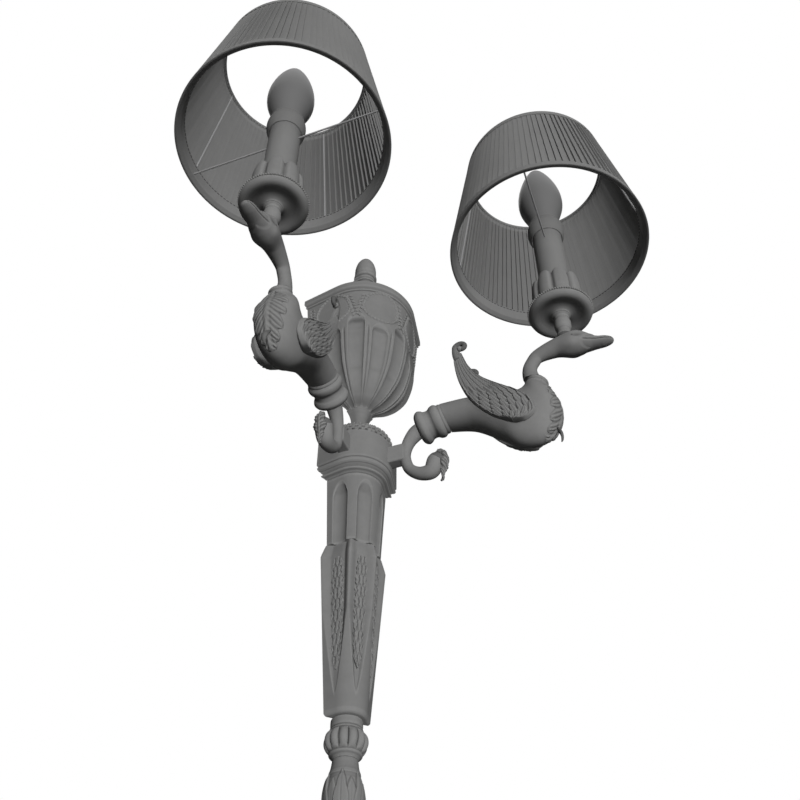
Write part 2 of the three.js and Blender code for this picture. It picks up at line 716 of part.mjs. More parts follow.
function bodyHull(grow, startGrow = 0) {
  const smooth = smoothRows(bodyRows, 2);
  return skin(smooth.map(([backOut, backUp, bellyOut, bellyUp, half], k) => {
    const back = new THREE.Vector2(backOut, backUp);
    const belly = new THREE.Vector2(bellyOut, bellyUp);
    const middle = back.clone().add(belly).divideScalar(2);
    const across = back.clone().sub(belly);
    if (k === 0) middle.addScaledVector(spoolAxis, -startGrow);
    return ellipse(middle, across.clone().normalize(), across.length() / 2 + grow, half + grow, bodySides);
  }));
}

const ringAt = new THREE.Vector2(scrollOut + neckRingAt.x, neckRingAt.y);
const ringLean = degrees(neckRingLean);

function onRingAxis(solid) {
  const matrix = new THREE.Matrix4().makeRotationY(ringLean);
  return placed(solid, matrix.setPosition(ringAt.x, 0, ringAt.y));
}

function swanBody() {
  const socket = onSpoolAxis(pin(
    spoolSpigotRadius + fit, spoolLength - 5, spoolLength + spoolSpigotLength + fit,
  ));
  const far = 60;
  const above = onRingAxis(box([-far, far], [-far, far], [-neckRingHeight / 2 - fit, far]));
  const neckBore = onRingAxis(pin(neckSpigotRadius + fit, -neckSpigotLength - fit, 0));
  const body = cut(bodyHull(0), above);
  return cut(body, socket, neckBore);
}

// Neck ring: a double bead round the neck's spigot
function neckRing() {
  const [outer, half] = [neckRingRadius, neckRingHeight / 2];
  const inner = neckSpigotRadius + fit;
  const profile = [
    [inner, -half], [outer - 1.2, -half], [outer, -half * 0.55], [outer - 1.6, 0],
    [outer - 1.2, half * 0.5], [outer - 2.2, half], [inner, half], [inner, -half],
  ];
  return onRingAxis(turned(profile, roundFacets));
}

// Neck, head and bill: rows of [out, up, half height, half width].
// The neck is measured from its ring, and the head from the candle's seat.
const neckRows = [[0, -2, 7.8, 7.4], [-3.7, 9, 6.7, 6.2], [-4, 19, 5.9, 5.3], [-0.5, 26.7, 5.8, 5.2]];
const headRows = [
  [-23.5, -14.6, 6.2, 5.7], [-9.5, -10.7, 8, 7.5], [2.5, -11, 10.3, 9.3], [9.5, -12.7, 8.6, 8.4],
  [16, -15.4, 5.6, 6.8], [24, -17.2, 3.8, 5.6], [32, -17.8, 2.6, 4.6], [37, -18.2, 1.2, 2.4],
];
const candleAxis = scrollOut + candleOut;

function swanNeck() {
  const rows = [
    ...neckRows.map(([out, up, high, wide]) => [ringAt.x + out, ringAt.y + up, high, wide]),
    ...headRows.map(([out, up, high, wide]) => [candleAxis + out, headTop + up, high, wide]),
  ];
  const far = 80;
  const below = onRingAxis(box([-far, far], [-far, far], [-far, neckRingHeight / 2 + fit]));
  const spigot = onRingAxis(pin(neckSpigotRadius, -neckSpigotLength, neckRingHeight));
  const seat = placed(pin(nippleRadius + 2.4, -12, 0, roundFacets), candleAt);
  const over = placed(box([-far, far], [-far, far], [0, far]), candleAt);
  const bore = placed(pin(nippleRadius + fit, -nippleBelow - fit, 1), candleAt);
  const neck = cut(rod(rows, 2, neckSides), below, over);
  return cut(joined(neck, spigot, seat), bore);
}

// Wing: a plate with raised feathers, over a shoulder pad that is cut to the body
const wingVolute = new THREE.Vector2(56.2, 90.6);
const wingVoluteRadius = 6.7;
const wingFrontEdge = [
  [57.2, 79.9], [61.6, 66.1], [70.8, 50.8], [86.2, 35.9], [101.2, 22.6], [108.3, 12.4], [110.5, 0],
  [102.6, -7], [92.1, -5.6],
];
const wingRearEdge = [[92.1, -5.6], [76.8, 4.6], [61.3, 25.4], [52.4, 49.9], [48.9, 74], [49.5, 91]];

function wingOutline() {
  const edge = (points) => new THREE.SplineCurve(
    points.map(([out, up]) => new THREE.Vector2(scrollOut + out, up)),
  );
  const volute = new THREE.EllipseCurve(
    scrollOut + wingVolute.x, wingVolute.y, wingVoluteRadius, wingVoluteRadius,
    degrees(176), degrees(-60), true,
  );
  return new THREE.Shape([
    ...edge(wingFrontEdge).getPoints(13),
    ...edge(wingRearEdge).getPoints(8).slice(1),
    ...volute.getPoints(6).slice(1),
  ]);
}

// A long feather: a narrow leaf from its root to its tip, raised off the plate
function feather(root, tip, width) {
  const length = tip.clone().sub(root).length();
  const shape = new THREE.Shape();
  shape.moveTo(0, 0);
  shape.quadraticCurveTo(length * 0.45, width * 0.75, length, 0);
  shape.quadraticCurveTo(length * 0.45, -width * 0.75, 0, 0);
  const options = { depth: 0.9, bevelEnabled: false, curveSegments: 3 };
  const geometry = new THREE.ExtrudeGeometry(shape, options);
  geometry.rotateZ(Math.atan2(tip.y - root.y, tip.x - root.x)).translate(root.x, root.y, 0);
  return geometry;
}

const featherRows = [
  [[94, -2], [63, 28]], [[97, 5], [57, 46]], [[100, 12], [55, 66]],
];

function wing(side) {
  const plateOptions = { depth: wingThickness, bevelEnabled: false };
  const plate = new THREE.ExtrudeGeometry(wingOutline(), plateOptions);
  const deep = { depth: 4 * wingPadDepth, bevelEnabled: false };
  const within = new THREE.ExtrudeGeometry(wingOutline(), deep).translate(0, 0, -2 * wingPadDepth);
  const dome = new THREE.SphereGeometry(1, 8, 6);
  dome.scale(24, 16, wingPadDepth).translate(scrollOut + 90, 11, 0.5);
  const pad = solidFrom(dome).intersect(solidFrom(within));
  const feathers = featherRows.map(([root, tip]) => solidFrom(feather(
    new THREE.Vector2(scrollOut + root[0], root[1]), new THREE.Vector2(scrollOut + tip[0], tip[1]), 7,
  ).translate(0, 0, wingThickness - 0.3)));
  const flat = joined(solidFrom(plate), pad, ...feathers);
  // Extruded toward +Z: stand it up so that its outer side faces away from the body
  const stand = new THREE.Matrix4().makeRotationX(Math.PI / 2);
  const outward = placed(flat, stand.setPosition(0, -(wingOut - wingThickness), 0));
  const sided = side < 0 ? outward : placed(outward, new THREE.Matrix4().makeScale(1, -1, 1));
  return cut(sided, bodyHull(fit, 1), onSpoolAxis(pin(spoolRadius + 1, 0, spoolLength)));
}

// Breast leaf: a shell over the chest inside a lobed outline
function breastLeaf() {
  const [top, bottom, half] = [27, -17, 12.5];
  const lobes = 3.5;
  const steps = 10;
  const edge = (side) => Array.from({ length: steps + 1 }, (_, k) => {
    const t = side > 0 ? k / steps : 1 - k / steps;
    const swell = Math.sin(Math.PI * (1 - t) ** 0.75) ** 0.6;
    const width = half * swell * (1 - 0.2 * Math.abs(Math.cos(lobes * Math.PI * t)));
    return new THREE.Vector2(side * width, top + (bottom - top) * t);
  });
  const outline = new THREE.Shape([...edge(1), ...edge(-1).slice(1, -1)]);
  const geometry = new THREE.ExtrudeGeometry(outline, { depth: 60, bevelEnabled: false });
  // The outline's first axis becomes sideways, its second stays up, and the depth runs outward
  const basis = new THREE.Matrix4().makeBasis(
    new THREE.Vector3(0, 1, 0), new THREE.Vector3(0, 0, 1), new THREE.Vector3(1, 0, 0),
  );
  const prism = solidFrom(geometry.applyMatrix4(basis.setPosition(scrollOut + 108, 0, 0)));
  return prism.intersect(bodyHull(fit + leafThickness)).subtract(bodyHull(fit));
}

const candleAt = new THREE.Matrix4().makeTranslation(candleAxis, 0, headTop);

// Candle parts stand on each other: stem, pan, cup, sleeve and cap
const nippleBore = nippleRadius + fit;
const panBottom = stemHeight + fit;
const panFloor = panBottom + panWall;
const panTop = panBottom + panHeight;
const cupBottom = panFloor + fit;
const cupFloorTop = cupBottom + cupFloor;
const candleBottom = cupFloorTop + fit;
const candleTop = candleBottom + candleHeight;
const capBottom = candleTop - capCover;
const capTop = capBottom + capHeight;
const candleInner = candleRadius - candleWall;
const bulbBottom = candleTop - bulbSink;
const bulbCapTop = bulbBottom - fit;
const bulbCapBottom = bulbCapTop - bulbCapHeight;
const holderTop = bulbCapTop;
const holderCup = holderTop - holderHeight;

function nipple() {
  return pin(nippleRadius, -nippleBelow, nippleAbove);
}

function panStem() {
  const ball = stemBallRadius;
  const middle = 16;
  const profile = [
    [nippleBore, fit], [6.3, fit], [6.3, 2], [5.7, 4], [5.7, 8], [ball - 0.9, middle - 4],
    [ball, middle - 0.6], [ball - 1, middle + 3], [6.1, middle + 5], [6.9, middle + 7],
    [8.6, stemHeight], [nippleBore, stemHeight], [nippleBore, fit],
  ];
  return turned(profile, smallFacets);
}

function dripPan() {
  const edge = panRadius;
  const profile = [
    [nippleBore, panBottom], [8.8, panBottom], [9.8, panBottom + 1.6], [15.5, panBottom + 1.6],
    [18.5, panBottom + 0.2], [edge - 3.5, panBottom + 0.8], [edge, panBottom + 3.1],
    [edge - 0.3, panTop], [edge - 2, panTop], [edge - 5, panFloor], [nippleBore, panFloor],
    [nippleBore, panBottom],
  ];
  return turned(profile, wideFacets);
}

// Petal cup: eight fat petals that swell, then turn outward at their tops
function petalCup() {
  const top = cupBottom + cupHeight;
  const levels = [
    [10, cupBottom, 0], [16.5, cupBottom + 4, 1], [cupRadius - 0.6, cupBottom + 14, 2],
    [cupRadius, cupBottom + 26, 2.2], [cupRadius - 1.2, cupBottom + 38, 2.6],
    [cupRadius - 1, top - 5, 3], [cupRadius - 2.5, top, 2.6],
  ];
  const wave = (turn) => Math.abs(Math.cos(cupPetals * turn / 2)) ** 3;
  const body = lobed(levels, cupPetals * perLobe, wave);
  const socket = pin(candleRadius + fit, cupFloorTop, top + 1, roundFacets);
  const flare = turned([
    [0, top - 7], [candleRadius + fit, top - 7], [cupRadius - 4.6, top + 0.5], [0, top + 0.5],
  ]);
  return cut(body, socket, flare, pin(nippleBore, cupBottom - 1, cupFloorTop + 1));
}

function candleSleeve() {
  return turned([
    [candleInner, candleBottom], [candleRadius, candleBottom], [candleRadius, candleTop],
    [candleInner, candleTop], [candleInner, candleBottom],
  ]);
}

// Cap: a bulged collar pushed down over the sleeve, with a thin rim round its mouth
function sleeveCap() {
  const inner = candleRadius + fit;
  const shelf = candleTop + fit;
  return turned([
    [inner, capBottom], [inner + 0.9, capBottom], [capRadius - 0.8, capBottom + 4.5],
    [capRadius, capBottom + 10], [capRadius - 1, capBottom + 16], [inner + 0.9, capTop - 2.2],
    [inner + 1.3, capTop - 1], [inner + 0.8, capTop], [capMouthRadius, capTop],
    [capMouthRadius, shelf], [inner, shelf], [inner, capBottom],
  ]);
}

// Lampholder: a socket for the bulb's cap on a tube that stands on the cup's floor
function lampholder() {
  const bore = bulbCapRadius + 0.4;
  const floor = bulbCapBottom - fit;
  const base = cupFloorTop + fit;
  const body = turned([
    [0, base], [holderTubeRadius, base], [holderTubeRadius, holderCup - 4],
    [holderRadius, holderCup], [holderRadius, holderTop], [bore, holderTop], [bore, floor],
    [0, floor],
  ], smallFacets);
  return cut(body, pin(nippleBore, base - 1, nippleAbove + fit));
}

function bulb() {
  const widest = bulbBottom + 45;
  const tip = bulbBottom + bulbHeight;
  return turned([
    [0, bulbBottom], [8.4, bulbBottom], [capMouthRadius - 0.7, capTop],
    [bulbRadius - 3.6, widest - 19], [bulbRadius, widest], [bulbRadius - 1.9, widest + 17],
    [bulbRadius - 7.2, widest + 35], [bulbRadius - 13.5, widest + 48], [4, tip - 2], [0, tip],
  ]);
}

function bulbCap() {
  return turned([
    [0, bulbCapBottom], [3.2, bulbCapBottom], [bulbCapRadius, bulbCapBottom + 3.5],
    [bulbCapRadius, bulbCapTop], [0, bulbCapTop],
  ], smallFacets);
}

// Shade layers, from the outside in: band, pleated cloth, wires, hem
const shadeTop = shadeBottom + shadeHeight;
const shadeSlope = (shadeBottomRadius - shadeTopRadius) / shadeHeight;
const clothOuter = bandWall + fit;
const clothInner = clothOuter + pleatDepth;
const wireLayer = clothInner + fit + wireRadius;
const hemOuter = wireLayer + wireRadius + fit;
const hemInner = hemOuter + hemWall;
const lowerWire = shadeBottom + wireFromEdge;
const upperWire = shadeTop - wireFromEdge;

function shadeRadius(inset, z) {
  return shadeBottomRadius - shadeSlope * (z - shadeBottom) - inset;
}

// Share of the corner radius at which a flat of the shade lies, in direction turn
function flatShare(turn) {
  const half = Math.PI / shadeFacets;
  const fromMiddle = ((turn % (2 * half)) + 2 * half) % (2 * half) - half;
  return Math.cos(half) / Math.cos(fromMiddle);
}

// A folded band: [inset, height] corners turned about the candle's axis
function foldedBand(corners) {
  const profile = corners.map(([inset, z]) => [shadeRadius(inset, z), z]);
  return turned([...profile, profile[0]], shadeFacets);
}

function spoke(radius, from, to, grow = 0) {
  const geometry = new THREE.CylinderGeometry(radius + grow, radius + grow, to - from, 6);
  return solidFrom(geometry.translate(0, (from + to) / 2, lowerWire));
}

function bottomBand() {
  const floor = shadeBottom + hemWall;
  const band = foldedBand([
    [0, shadeBottom], [0, shadeBottom + bandHeight], [bandWall, shadeBottom + bandHeight],
    [bandWall, floor], [hemOuter, floor], [hemOuter, shadeBottom + hemHeight],
    [hemInner, shadeBottom + hemHeight], [hemInner, shadeBottom],
  ]);
  const reach = shadeRadius(wireLayer, lowerWire);
  return cut(band, spoke(wireRadius, -reach, reach, fit));
}

function topBand() {
  const roof = shadeTop - hemWall;
  return foldedBand([
    [0, shadeTop], [0, shadeTop - bandHeight], [bandWall, shadeTop - bandHeight],
    [bandWall, roof], [hemOuter, roof], [hemOuter, shadeTop - bandHeight],
    [hemInner, shadeTop - bandHeight], [hemInner, shadeTop],
  ]);
}

// Cloth: knife pleats between the band and the wires
function shadeFabric() {
  const bottom = shadeBottom + hemWall + fit;
  const top = shadeTop - hemWall - fit;
  const fold = pleatDepth * 0.55;
  const ring = (inset, z) => Array.from({ length: 2 * pleats }, (_, i) => {
    const turn = Math.PI * i / pleats;
    const r = shadeRadius(inset + (i % 2) * fold, z) * flatShare(turn);
    return new THREE.Vector3(r * Math.cos(turn), r * Math.sin(turn), z);
  });
  const inner = clothInner - fold;
  return skin([
    ring(clothOuter, bottom), ring(clothOuter, top), ring(inner, top), ring(inner, bottom),
  ], true);
}

// Frame: two wire rings, struts between them and one straight wire across the bottom ring
function shadeFrame() {
  const hoop = (z) => {
    const radius = shadeRadius(wireLayer, z);
    const torus = new THREE.TorusGeometry(radius, wireRadius, 4, shadeFacets);
    return solidFrom(torus.translate(0, 0, z));
  };
  const strut = (k) => {
    const turn = 2 * Math.PI * (k + 0.5) / struts;
    const at = (z) => {
      const r = shadeRadius(wireLayer, z) * flatShare(turn);
      return new THREE.Vector3(r * Math.cos(turn), r * Math.sin(turn), z);
    };
    const [from, to] = [at(lowerWire), at(upperWire)];
    const line = new THREE.LineCurve3(from, to);
    const round = new THREE.Shape().absarc(0, 0, wireRadius, 0, 2 * Math.PI);
    const options = { extrudePath: line, steps: 1, curveSegments: 2 };
    return solidFrom(new THREE.ExtrudeGeometry(round, options));
  };
  const ringInner = shadeRadius(wireLayer, lowerWire);
  const spokes = [-1, 1].map((side) => {
    const ends = [side * (candleRadius + fit), side * (ringInner - 0.1)].sort((a, b) => a - b);
    return spoke(wireRadius, ...ends);
  });
  const posts = Array.from({ length: struts }, (_, k) => strut(k));
  return joined(hoop(lowerWire), hoop(upperWire), ...posts, ...spokes);
}

// Each shape of the arm is made once and used on both sides
const armShapes = {
  arm_bar: [() => cut(barSolid(0), scrollTube(fit)), bronze],
  scroll: [scroll, bronze],
  spool: [spool, bronze],
  swan_body: [swanBody, bronze],
  breast_leaf: [breastLeaf, bronze],
  neck_ring: [neckRing, bronze],
  swan_neck: [swanNeck, bronze],
};
const candleShapes = {
  nipple: [nipple, steel],
  pan_stem: [panStem, bronze],
  drip_pan: [dripPan, bronze],
  petal_cup: [petalCup, bronze],
  candle_sleeve: [candleSleeve, card],
  sleeve_cap: [sleeveCap, card],
  lampholder: [lampholder, moulded],
  bulb: [bulb, glass],
  bulb_cap: [bulbCap, brass],
  shade_frame: [shadeFrame, wire],
  shade_fabric: [shadeFabric, cloth],
  shade_bottom_band: [bottomBand, cloth],
  shade_top_band: [topBand, cloth],
};

const make = ([name, [shape, look]]) => [name, shape(), look];
const armPieces = Object.entries(armShapes).map(make);
const candlePieces = Object.entries(candleShapes).map(make);
const wings = { 1: wing(1), '-1': wing(-1) };

for (const [sideName, turn, frontSide] of [['right', -armAngle, -1], ['left', armAngle - 180, 1]]) {
  const arm = new THREE.Group();
  arm.rotation.z = degrees(turn);
  column.add(arm);
  for (const [name, solid, look] of armPieces) addPiece(arm, `${sideName}_${name}`, solid, look);
  addPiece(arm, `${sideName}_wing_front`, wings[frontSide], bronze);
  addPiece(arm, `${sideName}_wing_back`, wings[-frontSide], bronze);
  const candle = new THREE.Group();
  candle.position.set(candleAxis, 0, headTop);
  arm.add(candle);
  for (const [name, solid, look] of candlePieces) addPiece(candle, `${sideName}_${name}`, solid, look);
}

export default sconce;
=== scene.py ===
"""Wall sconce: a half urn on a fluted, tapering stem, with two swan arms and pleated shades.

Sizes are in millimetres up to the moment that a mesh is made, and the part's frame is kept:
+Z up, the wall at y = 0, the room at negative y."""

import bpy
import numpy as np
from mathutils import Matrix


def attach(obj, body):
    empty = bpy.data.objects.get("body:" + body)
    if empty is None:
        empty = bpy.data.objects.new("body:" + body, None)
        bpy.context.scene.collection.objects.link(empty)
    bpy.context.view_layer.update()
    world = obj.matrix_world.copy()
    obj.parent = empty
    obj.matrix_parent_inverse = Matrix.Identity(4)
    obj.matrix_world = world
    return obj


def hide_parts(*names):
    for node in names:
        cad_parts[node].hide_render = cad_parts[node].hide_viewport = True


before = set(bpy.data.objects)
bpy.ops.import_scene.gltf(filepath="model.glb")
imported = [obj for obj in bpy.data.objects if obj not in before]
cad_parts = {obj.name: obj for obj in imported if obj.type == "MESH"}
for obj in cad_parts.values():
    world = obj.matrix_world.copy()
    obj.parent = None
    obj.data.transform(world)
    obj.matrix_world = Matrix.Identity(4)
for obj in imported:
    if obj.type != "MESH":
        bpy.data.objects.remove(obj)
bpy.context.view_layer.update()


# Wall fixing and stem pipe: a steel strap plate, a channel with two side screws and the pipe
# that every casting is threaded on. They are plain bent and drawn steel, as are the threaded
# tubes in the arms, so the solids stay and get a zinc-plated finish.

class Socket:
    """One output of a shader node. Sums and products add Math nodes; node adds any other."""

    def __init__(self, tree, output=None):
        self.tree = tree
        self.output = output

    def node(self, kind, settings=None, inputs=None, out=0):
        """Adds a node: its settings first, then the values or links of its input sockets."""
        made = self.tree.nodes.new("ShaderNode" + kind)
        for name, value in (settings or {}).items():
            setattr(made, name, value)
        for name, value in (inputs or {}).items():
            if isinstance(value, Socket):
                self.tree.links.new(value.output, made.inputs[name])
            else:
                made.inputs[name].default_value = value
        return Socket(self.tree, made.outputs[out])

    def math(self, operation, first, second=0.0):
        return self.node("Math", {"operation": operation}, {0: first, 1: second})

    def __add__(self, other):
        return self.math("ADD", self, other)

    def __sub__(self, other):
        return self.math("SUBTRACT", self, other)

    def __rsub__(self, other):
        return self.math("SUBTRACT", other, self)

    def __mul__(self, other):
        return self.math("MULTIPLY", self, other)

    __radd__ = __add__
    __rmul__ = __mul__

    def held(self, low, high):
        """The value kept between two limits."""
        return self.math("MINIMUM", self.math("MAXIMUM", self, low), high)

    def sine(self):
        return self.math("SINE", self)

    def noise(self, scale, detail, roughness=0.55, stretch=None):
        """Noise from 0 to 1 on this position, optionally stretched along the axes."""
        place = self
        if stretch:
            place = self.node("Mapping", None, {"Vector": self, "Scale": stretch})
        return self.node("TexNoise", None, {
            "Vector": place, "Scale": scale, "Detail": detail, "Roughness": roughness})

    def between(self, dark, light):
        """A colour mixed from dark at 0 to light at 1."""
        return self.node("Mix", {"data_type": "RGBA"}, {
            0: self, 6: (*dark, 1.0), 7: (*light, 1.0)}, out=2)


def finish(name, base, rough, build, metallic=0.0, spread=0.1, shine=0.1):
    """A material. build gets the object position and the edge value and gives three sockets:
    tone from 0 to 1, roughness offset and bump height in millimetres.
    Colour = base mixed from (1 - spread) to (1 + spread) by tone. shine is the specular level:
    the white room is seen in every glossy surface, so it stays low."""
    made = bpy.data.materials.new(name)
    made.use_nodes = True
    tree = made.node_tree
    shader = tree.nodes["Principled BSDF"]
    start = Socket(tree)
    place = start.node("TexCoord", out=3)
    edge = start.node("Attribute", {"attribute_name": "edge"}, out=2)
    tone, rougher, height = build(place, edge)
    dark = [c * (1 - spread) for c in base]
    light = [min(c * (1 + spread), 1.0) for c in base]
    tree.links.new(tone.held(0.0, 1.0).between(dark, light).output, shader.inputs["Base Color"])
    tree.links.new((rougher + rough).held(0.05, 1.0).output, shader.inputs["Roughness"])
    bump = height.node("Bump", None, {"Height": height, "Distance": 0.001, "Strength": 1.0})
    tree.links.new(bump.output, shader.inputs["Normal"])
    shader.inputs["Metallic"].default_value = metallic
    shader.inputs["Specular IOR Level"].default_value = shine
    made.diffuse_color = (*base, 1.0)
    return made


def plating_and_crease_shade(place, edge):
    """Zinc plating: cloudy spangles, fine drawing lines along Z and a little dust."""
    spangle = place.noise(420.0, 2.0)
    lines = place.noise(900.0, 2.0, 0.6, (1.0, 1.0, 0.06))
    cloud = place.noise(38.0, 4.0)
    # the edge value paints shade into the creases and makes sharp edges paler
    return spangle * 0.5 + cloud * 0.6 + edge * 0.3 - 0.05, cloud * 0.2 - 0.1, lines * 0.05


zinc = finish("zinc_plate", (0.25, 0.25, 0.255), 0.45, plating_and_crease_shade, metallic=0.3, spread=0.22)


def dress(node, material):
    """Gives a CAD node that stays a finished material."""
    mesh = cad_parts[node].data
    mesh.materials.clear()
    mesh.materials.append(material)


for node in ("wall_plate", "mounting_channel", "channel_screw_left", "channel_screw_right",
             "stem_pipe", "right_nipple", "left_nipple"):
    dress(node, zinc)


# Urn: a half bowl with wide flutes that end in round tops, on a waisted foot, under a domed
# lid. Cast bronze, each piece with a lug behind it that the stem pipe runs through.

wall_to_axis = 16.0
axis_place = np.array([0.0, -wall_to_axis, 0.0])
lug_radius = 6.8
plan_depth = 0.82            # depth of every half casting over its half width
plan_turn = np.arcsin(plan_depth)
plan_arc = plan_depth * plan_turn
plan_flat = np.cos(plan_turn)


def spline(keys, steps):
    """Catmull-Rom: a smooth curve through the rows of keys, with steps points in each span."""
    keys = np.asarray(keys, float)
    held = np.vstack([keys[:1], keys, keys[-1:]])
    before, start, end, after = held[:-3], held[1:-2], held[2:-1], held[3:]
    leave, arrive = (end - before) / 2, (after - start) / 2
    t = (np.arange(steps) / steps)[None, :, None]
    curve = ((2 * (start - end) + leave + arrive)[:, None] * t ** 3
             + (3 * (end - start) - 2 * leave - arrive)[:, None] * t ** 2
             + leave[:, None] * t + start[:, None])
    return np.vstack([curve.reshape(-1, keys.shape[1]), keys[-1:]])


def capped(keys, steps):
    """A profile that its first and last keys end flat, with a spline through the keys between."""
    return np.vstack([keys[:1], spline(keys[1:-1], steps), keys[-1:]])


def moulding(keys, step):
    """A profile of straight runs between [radius, height] keys, cut into steps of equal length
    and with its corners eased over one step."""
    keys = np.asarray(keys, float)
    runs = np.linalg.norm(np.diff(keys, axis=0), axis=1)
    along = np.concatenate([[0.0], np.cumsum(runs)])
    count = max(int(along[-1] / step), len(keys))
    at = np.linspace(0.0, along[-1], count + 1)
    fine = np.stack([np.interp(at, along, keys[:, k]) for k in range(2)], -1)
    eased = fine.copy()
    eased[1:-1] = (fine[:-2] + 2 * fine[1:-1] + fine[2:]) / 4
    return eased


def ramp(value):
    """The value held between 0 and 1."""
    return np.clip(value, 0, 1)


def circle(count):
    """Angles at equal steps round a circle, from 0."""
    return 2 * np.pi / count * np.arange(count)


def bell(value, middle, width):
    """exp(-((value - middle) / width)^2): 1 at the middle and near 0 two widths away."""
    return np.exp(-((value - middle) / width) ** 2)


def together(x, y, z):
    """Points of a grid from coordinates that stretch to each other's shape."""
    return np.stack(np.broadcast_arrays(x, y, z), -1)


def on_column(place, level):
    """Points round the column's axis from points of the plan and their heights."""
    level = np.broadcast_to(level, place.shape[:-1])
    return np.concatenate([place, level[..., None]], -1) + axis_place


def closed(rings, loop=False):
    """A closed shell: rings of points (rows, columns, 3) joined by quads. Row i joins row i + 1
    and each row is closed on itself. The ends get a fan each, or with loop the last row joins
    the first."""
    rows, columns = rings.shape[:2]
    joined = rows if loop else rows - 1
    row, column = np.meshgrid(np.arange(joined), np.arange(columns), indexing="ij")
    right, above = (column + 1) % columns, (row + 1) % rows
    corners = [row * columns + column, row * columns + right, above * columns + right,
               above * columns + column]
    faces = [np.stack(corners, -1).reshape(-1, 4)]
    points = [rings.reshape(-1, 3)]
    if not loop:
        points.append(rings[[0, -1]].mean(axis=1))
        near = np.arange(columns)
        far = near + (rows - 1) * columns
        low = np.full(columns, rows * columns)
        # A fan's triangle is kept as a quad with its centre twice; put drops the repeat
        faces.append(np.stack([low, np.roll(near, -1), near, near], -1))
        faces.append(np.stack([low + 1, far, np.roll(far, -1), np.roll(far, -1)], -1))
    return np.concatenate(points), np.concatenate(faces)


def several(shells):
    """Shells of points and faces as one."""
    points, faces, count = [], [], 0
    for some_points, some_faces in shells:
        points.append(some_points)
        faces.append(some_faces + count)
        count += len(some_points)
    return np.concatenate(points), np.concatenate(faces)


def copies(shell, moves):
    """One shell repeated: moves has shape (n, 4, 4), and point = matrix times point."""
    points, faces = shell
    four = np.concatenate([points, np.ones((len(points), 1))], -1)
    placed = np.einsum("nij,pj->npi", moves, four)[..., :3].reshape(-1, 3)
    step = np.arange(len(moves))[:, None, None] * len(points)
    return placed, (faces[None] + step).reshape(-1, 4)


def outward(points, faces):
    """Turns the faces round if the signed volume, the sum of a . (b x c) / 6, is negative."""
    a, b, c, d = (points[faces[:, k]] for k in range(4))
    volume = (a * (np.cross(b, c) + np.cross(c, d))).sum()
    return faces if volume > 0 else faces[:, ::-1]


# Most materials use this edge value to paint shade into creases and to make sharp edges paler.
def edge_values(mesh):
    """How far each point stands out from the mean of its neighbours, over their distance:
    near 1 on a sharp edge, near -1 in a crease, 0 on a smooth face. It is smoothed twice over
    the neighbours, so across wide faces it is drawn out."""
    count = len(mesh.vertices)
    place = np.empty(count * 3)
    mesh.vertices.foreach_get("co", place)
    place = place.reshape(-1, 3)
    normal = np.array([v.vector for v in mesh.vertex_normals])
    pair = np.empty(len(mesh.edges) * 2, int)
    mesh.edges.foreach_get("vertices", pair)
    one, two = pair.reshape(-1, 2).T
    both, other = np.concatenate([one, two]), np.concatenate([two, one])
    number = np.maximum(np.bincount(both, minlength=count), 1)

    def mean(values):
        return np.bincount(both, values[other], minlength=count) / number

    middle = np.stack([mean(place[:, k]) for k in range(3)], -1)
    length = np.linalg.norm(place[both] - place[other], axis=1)
    reach = np.bincount(both, length, minlength=count) / number
    proud = np.einsum("ij,ij->i", place - middle, normal) / np.maximum(reach, 1e-7)
    for _ in range(2):
        proud = (proud + mean(proud)) / 2
    return np.clip(proud * 4.0, -1.0, 1.0)


def put(name, shell, material, body="root", stands_for=(), crisp=40.0):
    """Makes the piece from a shell in millimetres, smooth but for edges sharper than crisp
    degrees, and lets it ride on its body."""
    points, faces = shell
    faces = outward(points, faces)
    mesh = bpy.data.meshes.new(name)
    lists = [tuple(dict.fromkeys(face)) for face in faces.tolist()]
    mesh.from_pydata((points / 1000).tolist(), [], lists)
    mesh.polygons.foreach_set("use_smooth", np.ones(len(mesh.polygons), bool))
    mesh.update()
    mesh.set_sharp_from_angle(angle=np.radians(crisp))
    # the edge value that the materials use for painted shade in creases and paler edges
    edge = mesh.attributes.new("edge", "FLOAT", "POINT")
    edge.data.foreach_set("value", edge_values(mesh).astype(np.float32))
    mesh.materials.append(material)
    piece = bpy.data.objects.new(name, mesh)
    bpy.context.scene.collection.objects.link(piece)
    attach(piece, body)
    if stands_for:
        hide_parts(*stands_for)
    return piece


def patina_and_crease_shade(place, edge):
    """Cast bronze under grey patina: clouds of tone, painted shade that darkens the creases and
    paler worn edges, sand grain of about half a millimetre and a few small pits."""
    cloud = place.noise(26.0, 5.0, 0.6)
    mottle = place.noise(150.0, 4.0, 0.65)
    sand = place.noise(1700.0, 3.0, 0.7)
    pits = (place.noise(520.0, 1.0) - 0.7).held(0.0, 1.0)
    # painted shade: the edge value darkens every crease; edges are lifted only a little, as wear
    tone = cloud * 0.3 + mottle * 0.25 + edge.held(-1.0, 0.12) * 1.6 + 0.3
    return tone, mottle * 0.18 + edge * -0.12 - 0.08, sand * 0.035 + mottle * 0.03 - pits * 0.5


bronze = finish("cast_bronze", (0.182, 0.182, 0.18), 0.58, patina_and_crease_shade, spread=0.4, shine=0.0)


def cast(name, shell, *stands_for):
    """A bronze piece of the column, in place of the CAD nodes named."""
    put(name, shell, bronze, stands_for=stands_for)


